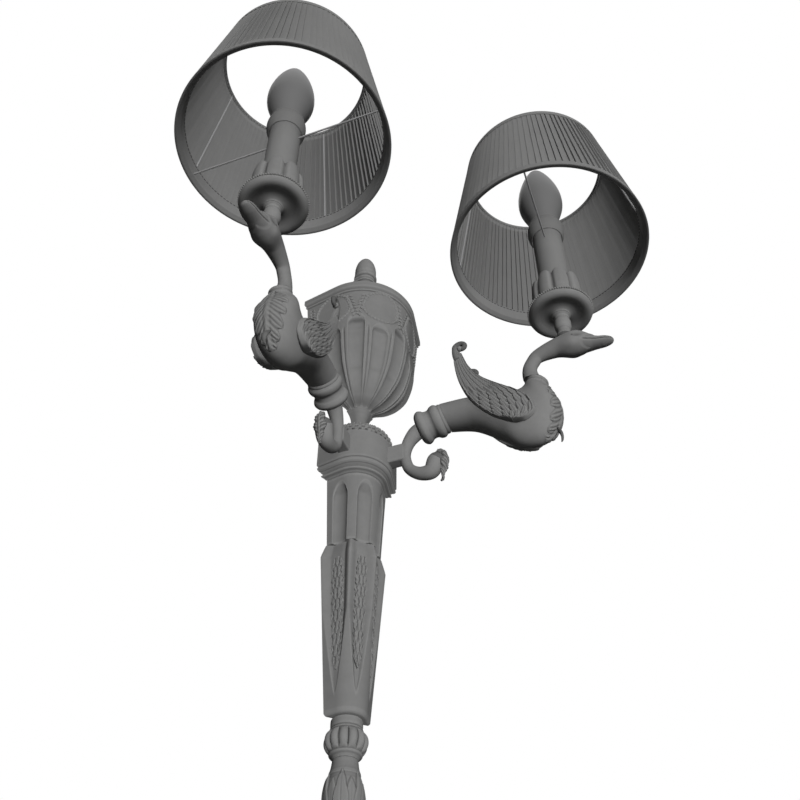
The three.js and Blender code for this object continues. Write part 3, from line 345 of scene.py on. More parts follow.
def front(share, half, out=0.0):
    """Plan of a half casting of half width half: a round front of radius 0.82 x half that runs
    on in straight tangents to the corners at the flat back. share is the distance along the
    plan over the half width, 0 at the front's middle. Gives x, y and the outward normal."""
    way = np.sign(share)
    turn = np.clip(np.abs(share), 0, plan_arc) / plan_depth
    beyond = np.clip(np.abs(share) - plan_arc, 0, None)
    normal = np.stack([way * np.sin(turn), -np.cos(turn)], -1)
    x = way * (plan_depth * np.sin(turn) + beyond * np.cos(plan_turn))
    y = -plan_depth * np.cos(turn) + beyond * np.sin(plan_turn)
    place = np.stack([x, y], -1) * np.asarray(half)[..., None] + normal * np.asarray(out)[..., None]
    return place, normal


plan_end = plan_arc + plan_flat      # share at the corner of the flat back


def bearing(share):
    """Direction of a point of the plan as seen from the column's axis, 0 at the front."""
    place, _ = front(share, np.ones_like(share))
    return np.arctan2(place[..., 0], -place[..., 1])


def casting(profile, relief=None, columns=181):
    """A half casting: for each [half width, height] of the profile the plan curve, moved in
    along its normal by relief(direction, height), then the flat back with the pipe's lug.
    Next to its corners and to the lug the flat back has columns of its own."""
    profile = np.asarray(profile, float)
    share = np.linspace(-plan_end, plan_end, columns)
    half = np.repeat(profile[:, :1], columns, 1)
    level = np.repeat(profile[:, 1:], columns, 1)
    inward = np.zeros_like(half)
    if relief is not None:
        inward = relief(np.broadcast_to(bearing(share), half.shape), level)
        inward[:, [0, -1]] = 0.0
    faced, _ = front(np.broadcast_to(share, half.shape), half, -inward)
    around = np.linspace(0, np.pi, 14)
    corner_x = half[:, :1]
    lug_x = np.minimum(lug_radius, 0.95 * corner_x) * np.cos(around)
    lug_y = np.broadcast_to(lug_radius * np.sin(around), lug_x.shape)
    flat_x = lug_x[:, :1] + (corner_x - lug_x[:, :1]) * [0.92, 0.08]
    back_x = np.concatenate([flat_x, lug_x, -flat_x[:, ::-1]], 1)
    back = np.stack([back_x, np.pad(lug_y, ((0, 0), (2, 2)))], -1)
    return closed(on_column(np.concatenate([faced, back], 1), profile[:, 1:]))


def fluted(step, half_span, depth, top, reach, fade_in, foot=None):
    """Relief of concave flutes: depth x sqrt(1 - (a / h)^2), where a is the angle from the
    nearest flute and h its half span, which closes in a half circle over reach below top. It
    deepens over fade_in below its top, and from a quarter over the [start, length] of foot."""
    def relief(turn, level):
        angle = np.degrees(turn)
        a = (angle + step / 2) % step - step / 2
        close = ramp((level - (top - reach)) / reach)
        h = half_span * np.sqrt(np.clip(1 - close ** 2, 1e-6, 1))
        open_here = ramp(1 - (a / h) ** 2) ** 0.5
        open_here = open_here * np.sin(np.pi / 2 * ramp((top - level) / fade_in)) ** 0.9
        fade = 1.0 if foot is None else np.clip((level - foot[0]) / foot[1], 0.25, 1)
        return depth * open_here * fade
    return relief


drum_top, gap = 18.3, 0.3
foot_bottom = drum_top + gap
foot_top = foot_bottom + 43.0
bowl_bottom = foot_top + gap
bowl_top = bowl_bottom + 123.7
bowl_keys = [
    [0.5, 0], [11.6, 0], [12.4, 0.8], [14.5, 2.4], [24, 7.5], [34, 17], [43, 31], [48.5, 48],
    [51, 62], [51.5, 69], [52.8, 84], [54.8, 105], [55.4, 111.2],
]
lip_keys = [
    [55.6, 111.4], [56.7, 111.8], [57.0, 112.7], [56.5, 113.6], [57.0, 114.4], [58.2, 115.4],
    [58.7, 116.4], [58.7, 121.5], [58.0, 122.6], [57.2, 123.4], [56.6, 123.7], [0.5, 123.7],
]
bowl_profile = np.vstack([spline(bowl_keys[2:], 9), moulding(lip_keys[:-1], 0.35)])
bowl_profile = np.vstack([bowl_keys[:2], bowl_profile, lip_keys[-1:]])
low_flutes, tall_flutes = (
    fluted(step=30.0, half_span=10.4, depth=3.0, top=top, reach=9.0, fade_in=6.0, foot=(0.0, 26.0))
    for top in (71.0, 80.5))


def bowl_relief(turn, level):
    """The flutes under a wreath end lower than the ones between two wreaths, at 30 degrees.
    A fine groove runs down the middle of the ridge between two flutes."""
    angle = np.abs(np.degrees(turn))
    inward = np.where(np.abs(angle - 30) < 15, tall_flutes(turn, level), low_flutes(turn, level))
    ends = ramp(level / 10) * ramp((70 - level) / 8)
    inward = inward + 0.9 * ends * bell(angle % 30, 15, 1.1)
    inner = (level < 0.1) | (level > 123.0)
    return np.where(inner, 0.0, inward)


cast("urn_bowl_cast", casting(
    bowl_profile + [0.0, bowl_bottom],
    lambda turn, level: bowl_relief(turn, level - bowl_bottom), columns=361), "urn_bowl")

foot_keys = [
    [0.5, 0], [23.0, 0], [23.5, 0.5], [23.5, 2.4], [22.7, 3.0], [21.0, 3.4], [18.8, 5.0],
    [13.6, 9.0], [9.0, 16], [7.4, 23], [7.2, 28], [8.0, 33.5], [9.6, 38.2], [11.3, 41.2],
    [12.0, 42.2], [11.6, 43.0], [0.5, 43.0],
]
cast("urn_foot_cast", casting(capped(foot_keys, 5) + [0.0, foot_bottom], columns=97), "urn_foot")

lid_bottom = bowl_top + gap
lid_top = lid_bottom + 59.0
lid_keys = [
    [0.5, 0], [53.0, 0], [53.5, 0.6], [53.5, 2.2], [52.4, 3.0], [50.1, 3.8], [44, 10.5],
    [34.5, 17.5], [24.5, 23.5], [17.5, 31], [14, 41], [11.9, 50], [12.6, 51.5], [12.6, 53.0],
    [11.6, 54.2], [11.5, 58.6], [0.5, 59.0],
]


def lid_ribs(turn, level):
    """Low gadroons over the dome: grooves every 15 degrees between its edge and its neck,
    0.9 x (1/2 - 1/2 cos 24t)^3 deep."""
    up = ramp((level - lid_bottom - 5) / 6) * ramp((lid_bottom + 30 - level) / 8)
    return 0.9 * up * (0.5 - 0.5 * np.cos(turn * 24)) ** 3


cast("urn_lid_cast", casting(capped(lid_keys, 5) + [0.0, lid_bottom], lid_ribs), "urn_lid")


# Finial: an acorn in its cup, turned bronze, threaded on the pipe's upper end.

def turned(profile, columns=72, wave=None, place=axis_place, loop=False):
    """A profile of [radius, height] turned about an upright axis. wave(turn, row) gives what is
    taken off the radius and what is added to the height."""
    profile = np.asarray(profile, float)
    turn = circle(columns)
    radius = np.repeat(profile[:, :1], columns, 1)
    level = np.repeat(profile[:, 1:], columns, 1)
    if wave is not None:
        less, more = wave(np.broadcast_to(turn, radius.shape), level)
        radius, level = radius - less, level + more
    points = np.stack([radius * np.sin(turn), -radius * np.cos(turn), level], -1)
    return closed(points + place, loop)


finial_bottom = lid_top + gap
acorn_keys = [
    [0.4, 0], [9.2, 0], [10.6, 0.7], [11.1, 2.2], [10.9, 4.2], [10.0, 5.3], [9.6, 5.9],
    [10.3, 7.6], [10.4, 10.5], [10.1, 17], [8.6, 24], [5.8, 30], [2.6, 33.5], [1.0, 34.2],
    [0.3, 34.4],
]
acorn_profile = np.vstack([acorn_keys[:1], spline(acorn_keys[1:], 6)])
cast("acorn_finial_cast", turned(acorn_profile + [0, finial_bottom]), "acorn_finial")


# Laurel wreaths: three round wreaths cast on the band of the bowl, each a ring of small
# overlapping leaves round a thin bead, with sprigs of laurel hanging between them.

def scales(u, v, slope, rounded=0.6, crease=1.0):
    """Overlapping leaves or feathers as a height. Row k ends at k + 1 - rounded x (2b)^2, where b
    is the distance from the leaf's middle; each leaf rises to its tip, with a crease between
    neighbours, shallower where crease is below 1, and a line along its own middle. Rows are
    staggered by half a leaf."""
    first = np.floor(u)

    def cell(row):
        b = (v + 0.5 * (row % 2)) % 1.0 - 0.5
        return b, row + 1 - rounded * (2 * b) ** 2

    b_one, tip_one = cell(first)
    b_two, _ = cell(first + 1)
    top = u < tip_one
    b = np.where(top, b_one, b_two)
    row = np.where(top, first, first + 1)
    rise = (u - row + 0.6) * slope / 1.6 + 0.35
    crown = 1 - crease + crease * (1 - (2 * b) ** 4) ** 0.7
    return rise * crown + slope * 0.55 * crown - 0.16 * bell(b, 0, 0.07)


wreath_level = bowl_bottom + 94.0


def on_bowl(across, up, out, middle_share):
    """A point of the bowl's band: across along its plan from the share of the plan given, up
    from the wreaths' middle height, out along the normal."""
    level = wreath_level + up
    band_half, band_level = np.array(bowl_keys[8:]).T
    half = np.interp(level - bowl_bottom, band_level, band_half)
    place, _ = front(middle_share + across / half, half, out)
    return on_column(place, level)


def ring_on_bowl(share, radius, half_width, thick, rows, leaves=0, columns=22):
    """A ring on the band: a flattened tube round a circle, sunk by 0.3. With leaves it is raised
    by the scale relief, twice as many leaves as told, which meet at the top and the bottom."""
    round_it = circle(rows)[:, None]
    tube = circle(columns)[None]
    height = thick * np.sin(tube)
    lobed = 1.0
    if leaves:
        u = np.abs((round_it / np.pi + 0.5) % 2 - 1) * leaves
        height = height + 0.6 * scales(u, np.cos(tube), slope=0.8) * ramp(np.sin(tube))
        lobed = 1 + 0.22 * np.cos(2 * leaves * round_it)
    reach = radius + half_width * lobed * np.cos(tube)
    across, up = reach * np.sin(round_it), reach * np.cos(round_it)
    return closed(on_bowl(across, up, height - 0.3, share), loop=True)


wreath_shares = {"left": -0.859, "middle": 0.0, "right": 0.859}
for word, share in wreath_shares.items():
    cast(f"urn_wreath_{word}", several([
        ring_on_bowl(share, radius=17.2, half_width=1.4, thick=0.5, rows=408, leaves=17),
        ring_on_bowl(share, radius=15.3, half_width=0.35, thick=0.5, rows=96, columns=10)]))


def leaf_blade(length, width, thick):
    """A small leaf along +Y, rising toward +Z: half width = width x sin(pi t^0.85)^0.7, height
    = thick x a rounded section with a groove along the middle."""
    t = np.linspace(0.02, 0.98, 9)[:, None]
    turn = circle(12)[None]
    half = width * np.sin(np.pi * t ** 0.85) ** 0.7
    x = half * np.cos(turn)
    groove = 0.45 * thick * bell(x, 0, 0.18 * width)
    z = thick * np.sin(turn) * (0.5 + 0.5 * np.sin(np.pi * t)) - groove * (np.sin(turn) > 0)
    return closed(together(x, length * t, z + 0.25 * thick * np.sin(np.pi * t)))


def sprig_on_bowl(share, start, end, size):
    """A hanging sprig: seven pairs of leaves along a straight line on the band, each turned out
    from the line by 0.7 radians."""
    points, faces = leaf_blade(size, size * 0.28, 0.8)
    start, end = np.array(start), np.array(end)
    heading = np.arctan2(*(end - start))
    found = []
    for t in (np.arange(7) + 0.5) / 7:
        across, up = start + (end - start) * t
        for turn in (heading - 0.7, heading + 0.7):
            x = across + points[:, 0] * np.cos(turn) + points[:, 1] * np.sin(turn)
            y = up - points[:, 0] * np.sin(turn) + points[:, 1] * np.cos(turn)
            found.append((on_bowl(x, y, points[:, 2] + 0.2, share), faces))
    return several(found)


sprigs = []
for middle in (-0.43, 0.43):
    for side in (-1, 1):
        sprigs.append(sprig_on_bowl(middle, (side * 8.5, 15.0), (side * 0.8, -12.0), size=5.2))
for side in (-1, 1):
    sprigs.append(sprig_on_bowl(side * 1.26, (0.0, 15.0), (0.0, -12.0), size=4.6))
cast("urn_sprigs", several(sprigs))


# Laurel ring: a half ring of overlapping laurel leaves, cast as a torus and chased, lying on
# the drum round the urn's foot. Its leaves point to the front from both sides.

def laurel_garland():
    """Half a torus on the plan: radius 28.8, tube 3.3 and 4.0 up, both grown by the leaves' scale
    relief. It stays 0.02 above the drum."""
    share = np.linspace(-plan_end, plan_end, 260)[:, None]
    tube = circle(36)[None]
    u = 17 * (1 - np.abs(share) / plan_end)
    grow = 1.9 * (scales(u, 3.0 * tube / np.pi, rounded=1.0, slope=0.9, crease=0.7) - 0.3)
    thick = 3.3 + np.maximum(grow, -0.5)
    half = 28.8 + thick * np.cos(tube)
    place, _ = front(np.broadcast_to(share, half.shape), half)
    level = foot_bottom + np.maximum(4.0 + 1.1 * thick * np.sin(tube), 0.02)
    return closed(on_column(place, level))


cast("laurel_garland", laurel_garland(), "laurel_ring")


# Collar and shaft: a drum that holds the two arm bars, over a torus, a cove and a thin ring,
# and a tapering shaft with three round-topped flutes. Both are half castings.

drum_bottom = drum_top - 27.8
moulding_bottom = drum_bottom - 11.1
shaft_top = moulding_bottom - gap
shaft_tall = 61.1
shaft_bottom = shaft_top - shaft_tall
collar_keys = [
    [0.5, 0], [33.4, 0], [34.2, 0.3], [34.5, 1.0], [34.5, 26.6], [34.1, 27.4], [33.0, 27.8],
    [33.4, 28.4], [34.0, 29.6], [33.6, 31.2], [32.2, 32.4], [31.2, 32.6], [30.6, 33.2],
    [29.8, 33.6], [29.0, 34.2], [28.6, 35.0], [29.6, 35.3], [30.2, 35.9], [30.2, 36.8],
    [29.6, 37.3], [27.6, 37.8], [26.6, 38.5], [26.0, 38.9], [0.5, 38.9],
]
collar_profile = np.vstack([collar_keys[:1], moulding(collar_keys[1:-1], 0.4), collar_keys[-1:]])
cast("collar_cast", casting([0, drum_top] + collar_profile * [1, -1], columns=121), "collar_drum")

shaft_flutes = fluted(step=60.0, half_span=18.5, depth=3.3, top=shaft_top - 6.5, reach=15.0,
                      fade_in=9.0)
shaft_drop = np.linspace(0, 1, 60)[:, None]
shaft_profile = np.hstack([25.0 - 3.3 * shaft_drop, shaft_top - shaft_tall * shaft_drop])
shaft_profile = np.vstack([[0.5, shaft_top], shaft_profile, [0.5, shaft_bottom]])
cast("shaft_cast", casting(shaft_profile, shaft_flutes, columns=241), "fluted_shaft")


# Sheath: a tapering casting with three hollowed panels between ridges. It runs out round at
# its foot and has a sloping, scalloped shoulder where the shaft's flutes enter it.

sheath_top = shaft_bottom - gap
sheath_bottom = sheath_top - 132.6
shoulder = 11.7
panel_top = sheath_top - shoulder


def sheath_half(level):
    """Half width: straight from 16.2 at the foot to 25.8 under the shoulder."""
    return np.interp(level, [sheath_bottom, panel_top], [16.2, 25.8])


def sheath_relief(turn, level):
    """Each panel is hollowed by 16.5 percent of the half width between rounded ridges. Toward
    the foot the hollow narrows to a point and fades; up on the shoulder it grows shallower."""
    angle = np.degrees(turn)
    a = np.abs((angle + 30) % 60 - 30) / 30
    opening = ramp((level - (sheath_bottom + 14)) / 62) ** 0.6
    wall = ramp((a / np.maximum(opening, 1e-3) - 0.5) / 0.5)
    share = (1 - wall ** 2 * (3 - 2 * wall)) * ramp(opening * 1.3)
    up = ramp((level - panel_top) / shoulder)
    return 0.165 * sheath_half(level) * share * (1 - 0.35 * up)


sheath_rise = np.linspace(sheath_bottom + 1.6, panel_top - 0.4, 90)
sheath_foot = np.array([[0.5, 0], [14.3, 0], [15.1, 0.3], [15.8, 0.9]])
shoulder_keys = np.array([[25.8, 0], [25.3, 2.2], [23.9, 6.6], [22.5, 10.9], [22.1, shoulder]])
sheath_profile = np.vstack([
    sheath_foot + [0, sheath_bottom],
    np.stack([sheath_half(sheath_rise), sheath_rise], -1),
    spline(shoulder_keys + [0, panel_top], 4),
    [[0.5, sheath_top]],
])
cast("sheath_cast", casting(sheath_profile, sheath_relief, columns=241), "sheath")


# Husk drops: on each panel a hanging bunch of laurel leaves, three abreast and narrowing to a
# bud at the bottom, cast with the sheath and chased.

def husk_drop(degrees_round):
    """A raised strip down the panel's middle: half width up to 5.2 and 0.3 at its tip, its
    surface the scale relief with ten rows of pointed leaves, closed at both ends."""
    down = np.linspace(0, 1, 170)[:, None]
    cross = circle(56)[None]
    level = panel_top - 2.0 - 88.0 * down
    width = np.interp(down, [0, 0.04, 0.25, 0.8, 0.93, 1], [1.6, 4.2, 5.2, 4.0, 3.0, 0.3])
    u = 10 * down
    x = width * (1 + 0.10 * np.sin(2 * np.pi * u)) * np.cos(cross)
    leaves = scales(u, 1.5 + 0.30 * x + 0.12 * np.sin(9 * down), rounded=1.35, slope=0.75)
    out = 0.5 + 1.15 * leaves * (1 - 0.45 * (np.abs(x) / 6) ** 2)
    out = np.where(np.sin(cross) >= 0, out * ramp(np.sin(cross) * 3), -1.2)
    every_share = np.linspace(-plan_end, plan_end, 400)
    middle = np.interp(np.radians(degrees_round), bearing(every_share), every_share)
    ragged = 1 + 0.10 * np.sin(4 * np.pi * u)
    half = sheath_half(level)
    share = middle + x * ragged / half
    place, _ = front(share, half, out - sheath_relief(bearing(share), level))
    return closed(on_column(place, level))


cast("husk_drops", several([husk_drop(angle) for angle in (-60, 0, 60)]))


# Knop and leaf drop: full round castings that close the column below, a plain neck over twelve
# fat gadroons and then a bud of leaves with a ball for its tip.

knop_top = sheath_bottom - gap
knop_bottom = knop_top - 26.3
drop_top = knop_bottom - gap
knop_keys = [
    [0.4, 0], [9.9, 0], [10.5, 0.6], [10.5, 4.6], [10.0, 5.5], [10.6, 6.3], [11.0, 7.0],
    [10.8, 7.8], [12.6, 9.2], [13.9, 11.4], [14.4, 14.2], [14.0, 17.2], [12.4, 20.2],
    [10.6, 21.8], [10.9, 22.6], [10.5, 23.6], [9.4, 24.4], [8.7, 25.4], [8.2, 26.3], [0.4, 26.3],
]


def gadroons(turn, level):
    """Twelve fat lobes: the radius goes in by 2.6 x (1 - |cos 6t|^0.6) between them."""
    down = knop_top - level
    belly = ramp((down - 8) / 2.2) * ramp((21.8 - down) / 2.4)
    return 2.6 * belly * (1 - np.abs(np.cos(6 * turn)) ** 0.6), 0.0


cast("knop_cast", turned([0, knop_top] + capped(knop_keys, 6) * [1, -1], 216, gadroons), "knop")

drop_keys = [
    [8.2, 0], [8.5, 1.6], [8.8, 4.0], [9.4, 6.6], [10.2, 8.6], [10.5, 9.6], [10.4, 10.6],
    [11.8, 14], [12.9, 20], [13.0, 26], [12.4, 34], [10.9, 42], [8.6, 50], [6.3, 57], [4.7, 62],
    [3.6, 65.2], [4.3, 66.4], [5.6, 68.4], [6.0, 70.8], [5.5, 73.4], [4.0, 75.6], [2.0, 76.5],
    [0.3, 76.7],
]


def bud_leaves(turn, level):
    """Two tiers of six leaves grow up over the bud, their tips under the collar. A leaf stands
    1.4 proud of what is behind it, its edge is scalloped, and its middle is nearly smooth."""
    down = drop_top - level
    t = (down - 8) / 54
    inside = ramp(t * 12) * ramp((1 - t) * 8)

    def tier(shift, tip, root):
        a = (turn * 3 / np.pi + shift) % 1.0 * 2 - 1
        s = ramp((t - tip) / (root - tip))
        width = np.sin(np.pi / 2 * ramp(s * 2.1)) ** 0.75 * (1 - 0.35 * s)
        scallop = 0.86 + 0.14 * np.abs(np.sin(np.pi * (4.5 * s + 0.2)))
        over = ramp((width * scallop - np.abs(a)) * 9) * (s > 0)
        return over * (1.4 - 0.25 * bell(a, 0, 0.07) * ramp(s * 4))

    high = np.maximum(tier(0.0, 0.0, 1.2), tier(0.5, 0.10, 1.2) * 0.55)
    return inside * (0.9 - high), 0.0


drop_profile = np.vstack([[0.4, 0], spline(drop_keys, 7)])
cast("leaf_drop_cast", turned([0, drop_top] + drop_profile * [1, -1], 240, bud_leaves), "leaf_drop")


# Arms: a square bar from the collar, then a bronze scroll bent round below to a leafed ball.
# Every piece of an arm is worked out once, in the arm's own frame: outward from the column's
# axis, across toward the wall, and up. The left arm is the right one mirrored.

sides = {"right": 1, "left": -1}
scroll_out, candle_reach, head_top = 41.0, 181.0, 90.0


def on_arm(shell, side):
    """The arms stand out at 45 degrees: x = (out + across) / root 2, mirrored for the left arm,
    y = (across - out) / root 2 from the column's axis, z = up."""
    points, faces = shell
    out, across, up = points.T
    half = np.sqrt(0.5)
    placed = np.stack([side * (out + across) * half, (across - out) * half, up], -1)
    return placed + axis_place, faces


def put_on_arms(name, shell, material, stands_for=(), body=None, crisp=40.0):
    """The same piece on both arms. body is the moving body's last word, or none when fixed."""
    return [
        put(f"{word}_{name}", on_arm(shell, side), material,
            f"{word}_{body}" if body else "root", [f"{word}_{node}" for node in stands_for], crisp)
        for word, side in sides.items()
    ]


def cast_on_arms(name, shell, *stands_for, crisp=40.0):
    """A bronze piece of both arms, in place of the CAD nodes named without their side."""
    put_on_arms(name, shell, bronze, stands_for, crisp=crisp)


def rounded_bar(start, end, half_wide, half_high, middle, ease):
    """A straight bar of squared section, x = |cos|^0.22 and z = |sin|^0.22 with their signs,
    eased at the ends."""
    out = np.array([start, start + ease, end - ease, end])[:, None]
    turn = circle(64)[None]
    power = 0.22
    x = np.sign(np.cos(turn)) * np.abs(np.cos(turn)) ** power
    z = np.sign(np.sin(turn)) * np.abs(np.sin(turn)) ** power
    shrink = np.array([ease, 0, 0, ease])[:, None]
    return closed(together(out, (half_wide - shrink) * x, middle + (half_high - shrink) * z))


cast_on_arms("arm_bar_cast", rounded_bar(
    14.0, scroll_out, half_wide=5.0, half_high=8.4, middle=4.0, ease=0.5), "arm_bar")


def line_through(rows, steps):
    """A spline through rows that begin with [out, up], and its direction at each point."""
    smooth = spline(rows, steps)
    way = np.gradient(smooth[:, :2], axis=0)
    return smooth, way / np.linalg.norm(way, axis=1)[:, None]


def tube(rows, steps, columns, relief=None):
    """A rod along a spline of [out, up, half height, half width] rows. Each ring is an ellipse
    square to the line. relief(u, turn) adds to the radius, u from 0 to 1 along it."""
    smooth, way = line_through(rows, steps)
    turn = circle(columns)[None]
    u = np.linspace(0, 1, len(smooth))[:, None]
    more = relief(u, turn) if relief else 0.0
    high = (smooth[:, 2:3] + more) * np.cos(turn)
    wide = (smooth[:, 3:4] + more) * np.sin(turn)
    return closed(together(smooth[:, :1] - way[:, 1:] * high, wide,
                           smooth[:, 1:2] + way[:, :1] * high))


scroll_rows = [
    [68.3, -6.2, 2.2, 2.2], [67.8, -8.0, 5.4, 5.4], [66.0, -11.5, 7.0, 7.0],
    [62.3, -20.0, 6.4, 6.4], [54.1, -20.3, 5.4, 5.4], [46.8, -15.5, 4.7, 4.7],
    [42.7, -8.6, 4.5, 4.5], [41, 3, 4.4, 4.4], [43.7, 14.6, 5.2, 5.2], [50, 23.4, 6.4, 6.4],
    [56.2, 26.8, 6.4, 6.4],
]


def acanthus(u, v, lobes, depth, fan=0.5):
    """Relief of an acanthus leaf, u from its root 0 to its tip 1 and v from -1 to 1 across. Its
    outline has slanting lobes; grooves run down the lobes from the midrib. Outside the outline
    the value is negative."""
    body_width = ramp(np.sin(np.pi * ramp(u * 0.9 + 0.08))) ** 0.55
    phase = lobes * (u - fan * 0.4 * np.abs(v))
    sinus = 0.5 + 0.5 * np.cos(2 * np.pi * phase)
    width = body_width * (1 - 0.36 * sinus ** 2.5)
    inside = np.clip((width - np.abs(v)) * 6, -1, 1)
    lobe_round = 1 - 0.55 * sinus ** 2
    veins = 0.28 * np.cos(2 * np.pi * (3 * phase + 0.6 * np.abs(v))) * ramp(np.abs(v) * 4)
    midrib = 0.5 * bell(v, 0, 0.09) - 0.35 * bell(np.abs(v), 0.17, 0.06)
    raised = np.abs(inside) ** 0.5 * (lobe_round + veins + midrib)
    return depth * np.where(inside > 0, raised, inside)


def leaf_on_line(rows, half_angle, lobes, depth):
    """A leaf laid over a rod: rows of [out, up, radius] with the leaf on the rod's outer side,
    v from -1 to 1 over the half angle. Its inner face lies 1.4 inside the radius."""
    smooth, way = line_through(rows, 16)
    u = np.linspace(0, 1, len(smooth))[:, None]
    v = np.linspace(-1, 1, 72)[None]
    turn = v * half_angle

    def at(radius):
        away = radius * np.cos(turn)
        return together(smooth[:, :1] + way[:, 1:] * away, radius * np.sin(turn),
                        smooth[:, 1:2] - way[:, :1] * away)

    face = at(smooth[:, 2:3] + acanthus(u, v, lobes, depth))
    return closed(np.concatenate([face, at(smooth[:, 2:3] - 1.4)[:, ::-1]], 1))


ball_turn = np.linspace(0.05, np.pi - 0.05, 22)
scroll_ball = turned(6.9 * np.stack([np.sin(ball_turn), -np.cos(ball_turn)], -1), 40,
                     place=np.array([66.4, 0.0, -11.0]))
cup_leaf_rows = [
    [70.4, -32.2, 0.2], [70.6, -30.8, 0.7], [70.2, -24, 2.6], [70.6, -17.5, 4.6], [71.2, -11, 4.4],
    [70.2, -5.4, 3.6], [66.2, -2.6, 2.2],
]
cast_on_arms("scroll_cast", several([
    tube(scroll_rows, steps=10, columns=44), scroll_ball,
    leaf_on_line(cup_leaf_rows, half_angle=1.5, lobes=4, depth=0.9)]), "scroll")


# Spool: a double ring on a waist, turned from bronze, which joins the scroll to the swan. Its
# axis rises by 14 degrees.

def about_axis(profile, at, lean):
    """A profile of [radius, way] turned about an axis through at that leans from upright by
    lean radians, outward."""
    points, faces = turned(profile, place=np.zeros(3))
    x, y, z = points.T
    out = at[0] + x * np.cos(lean) + z * np.sin(lean)
    up = at[1] - x * np.sin(lean) + z * np.cos(lean)
    return np.stack([out, y, up], -1), faces


spool_rise = np.radians(14.0)
spool_at = np.array([52.0, 26.3])
spool_keys = [
    [0.3, 0], [8.0, 0.1], [10.6, 0.7], [12.9, 2.2], [14.1, 4.2], [14.2, 5.6], [13.4, 7.6],
    [12.2, 9.2], [11.8, 10.8], [11.8, 12.4], [12.4, 13.8], [13.4, 15.2], [14.0, 17.2],
    [13.9, 19.0], [13.0, 20.6], [12.5, 21.4], [12.7, 22.2], [12.5, 23.2], [12.2, 24.0],
    [0.3, 24.0],
]
cast_on_arms("spool_cast", about_axis(capped(spool_keys, 6), spool_at, np.pi / 2 - spool_rise),
             "spool")


# Swan: a plain smooth body like a full pear between the line of its back and the line of its
# belly, cast hollow in bronze and polished before the patina.

spool_axis = np.array([np.cos(spool_rise), np.sin(spool_rise)])
body_start = spool_at + spool_axis * (24.0 + gap)
body_start_radius = 12.5
body_side = np.array([-spool_axis[1], spool_axis[0]]) * body_start_radius
swan_rows = np.array([
    [*(body_start + body_side), *(body_start - body_side), body_start_radius],
    [96.5, 43.4, 98.5, 13.6, 14], [120, 39.5, 118.5, -3, 16], [133, 38.4, 133, -15.5, 16.5],
    [139.5, 39.6, 149, -18.6, 16.5], [142, 41.4, 160.5, -12, 16.5], [143, 42.8, 167.6, 3, 16],
    [143.4, 43.8, 167.6, 18, 14.2], [143.6, 45, 163.8, 29, 11.8], [143.8, 47.5, 161.6, 38, 9.3],
])
ring_at = np.array([152.6, 43.0])
ring_lean = np.radians(18.0)
ring_axis = np.array([np.sin(ring_lean), np.cos(ring_lean)])
ring_half = 4.2


def hull(row, turn, grow=0.0):
    """The body's surface: an ellipse between back and belly at that row (a fraction between
    rows is allowed), turn 0 on the back and pi on the belly, grown by grow."""
    fine = spline(swan_rows, 16)
    at = np.clip(row, 0, len(swan_rows) - 1) * 16
    back_out, back_up, belly_out, belly_up, wide = (
        np.interp(at, np.arange(len(fine)), fine[:, k]) for k in range(5))
    high = np.hypot(back_out - belly_out, back_up - belly_up) / 2
    way = np.stack([(back_out - belly_out) / (2 * high), (back_up - belly_up) / (2 * high)])
    out = (back_out + belly_out) / 2 + way[0] * (high + grow) * np.cos(turn)
    up = (back_up + belly_up) / 2 + way[1] * (high + grow) * np.cos(turn)
    return together(out, (wide + grow) * np.sin(turn), up)


def kept_below(points, at, axis, limit):
    """Points beyond the plane across the axis at the limit are laid on it."""
    beyond = (points[..., 0] - at[0]) * axis[0] + (points[..., 2] - at[1]) * axis[1] - limit
    over = np.clip(beyond, 0, None)
    moved = points.copy()
    moved[..., 0] -= over * axis[0]
    moved[..., 2] -= over * axis[1]
    return moved


body_row = np.linspace(0, len(swan_rows) - 1, 110)[:, None]
body_turn = circle(72)[None]
body_rings = kept_below(hull(body_row, body_turn), ring_at, ring_axis, -ring_half - gap)
cast_on_arms("swan_body_cast", closed(body_rings), "swan_body")


# Breast leaf: a broad acanthus leaf cast separately and pinned over the chest. It fans out
# from under the neck ring, its lobes cut deep, and its tip hangs free.

def breast_leaf():
    """The leaf's grid lies on the body: rows 8.6 to 4.3 down the chest, v across over 0.7 to
    1.15 radians each side of the belly line, raised by the acanthus relief."""
    u = np.linspace(0, 1, 150)[:, None]
    v = np.linspace(-1, 1, 120)[None]
    row = 8.6 - 4.3 * u
    turn = np.pi + v * np.interp(u, [0, 0.15, 0.5, 1], [0.75, 1.15, 1.0, 0.7])
    face = hull(row, turn, 0.5 + acanthus(u, v, 5, 1.15, fan=0.9))
    both = np.concatenate([face, hull(row, turn, -1.2)[:, ::-1]], 1)
    return closed(kept_below(both, ring_at, ring_axis, -ring_half - gap))


leaf_tip = tube([[163.5, -9.5, 1.2, 3.4], [165.2, -13.0, 1.4, 3.0], [165.8, -17.2, 1.1, 2.0],
                 [165.4, -20.8, 0.8, 1.2], [164.6, -22.6, 0.3, 0.4]], 6, 20)
cast_on_arms("breast_leaf_cast", several([breast_leaf(), leaf_tip]), "breast_leaf")


# Neck ring: a double bead that covers the joint of neck and body.

neck_ring_keys = [
    [4.0, -4.2], [8.4, -4.2], [9.3, -3.6], [9.7, -2.4], [9.3, -1.1], [8.5, -0.3], [8.3, 0.3],
    [8.8, 1.0], [9.0, 2.0], [8.7, 3.0], [8.0, 3.8], [7.4, 4.2], [4.0, 4.2],
]
cast_on_arms("neck_ring_cast", about_axis(capped(neck_ring_keys, 5), ring_at, ring_lean),
             "neck_ring")


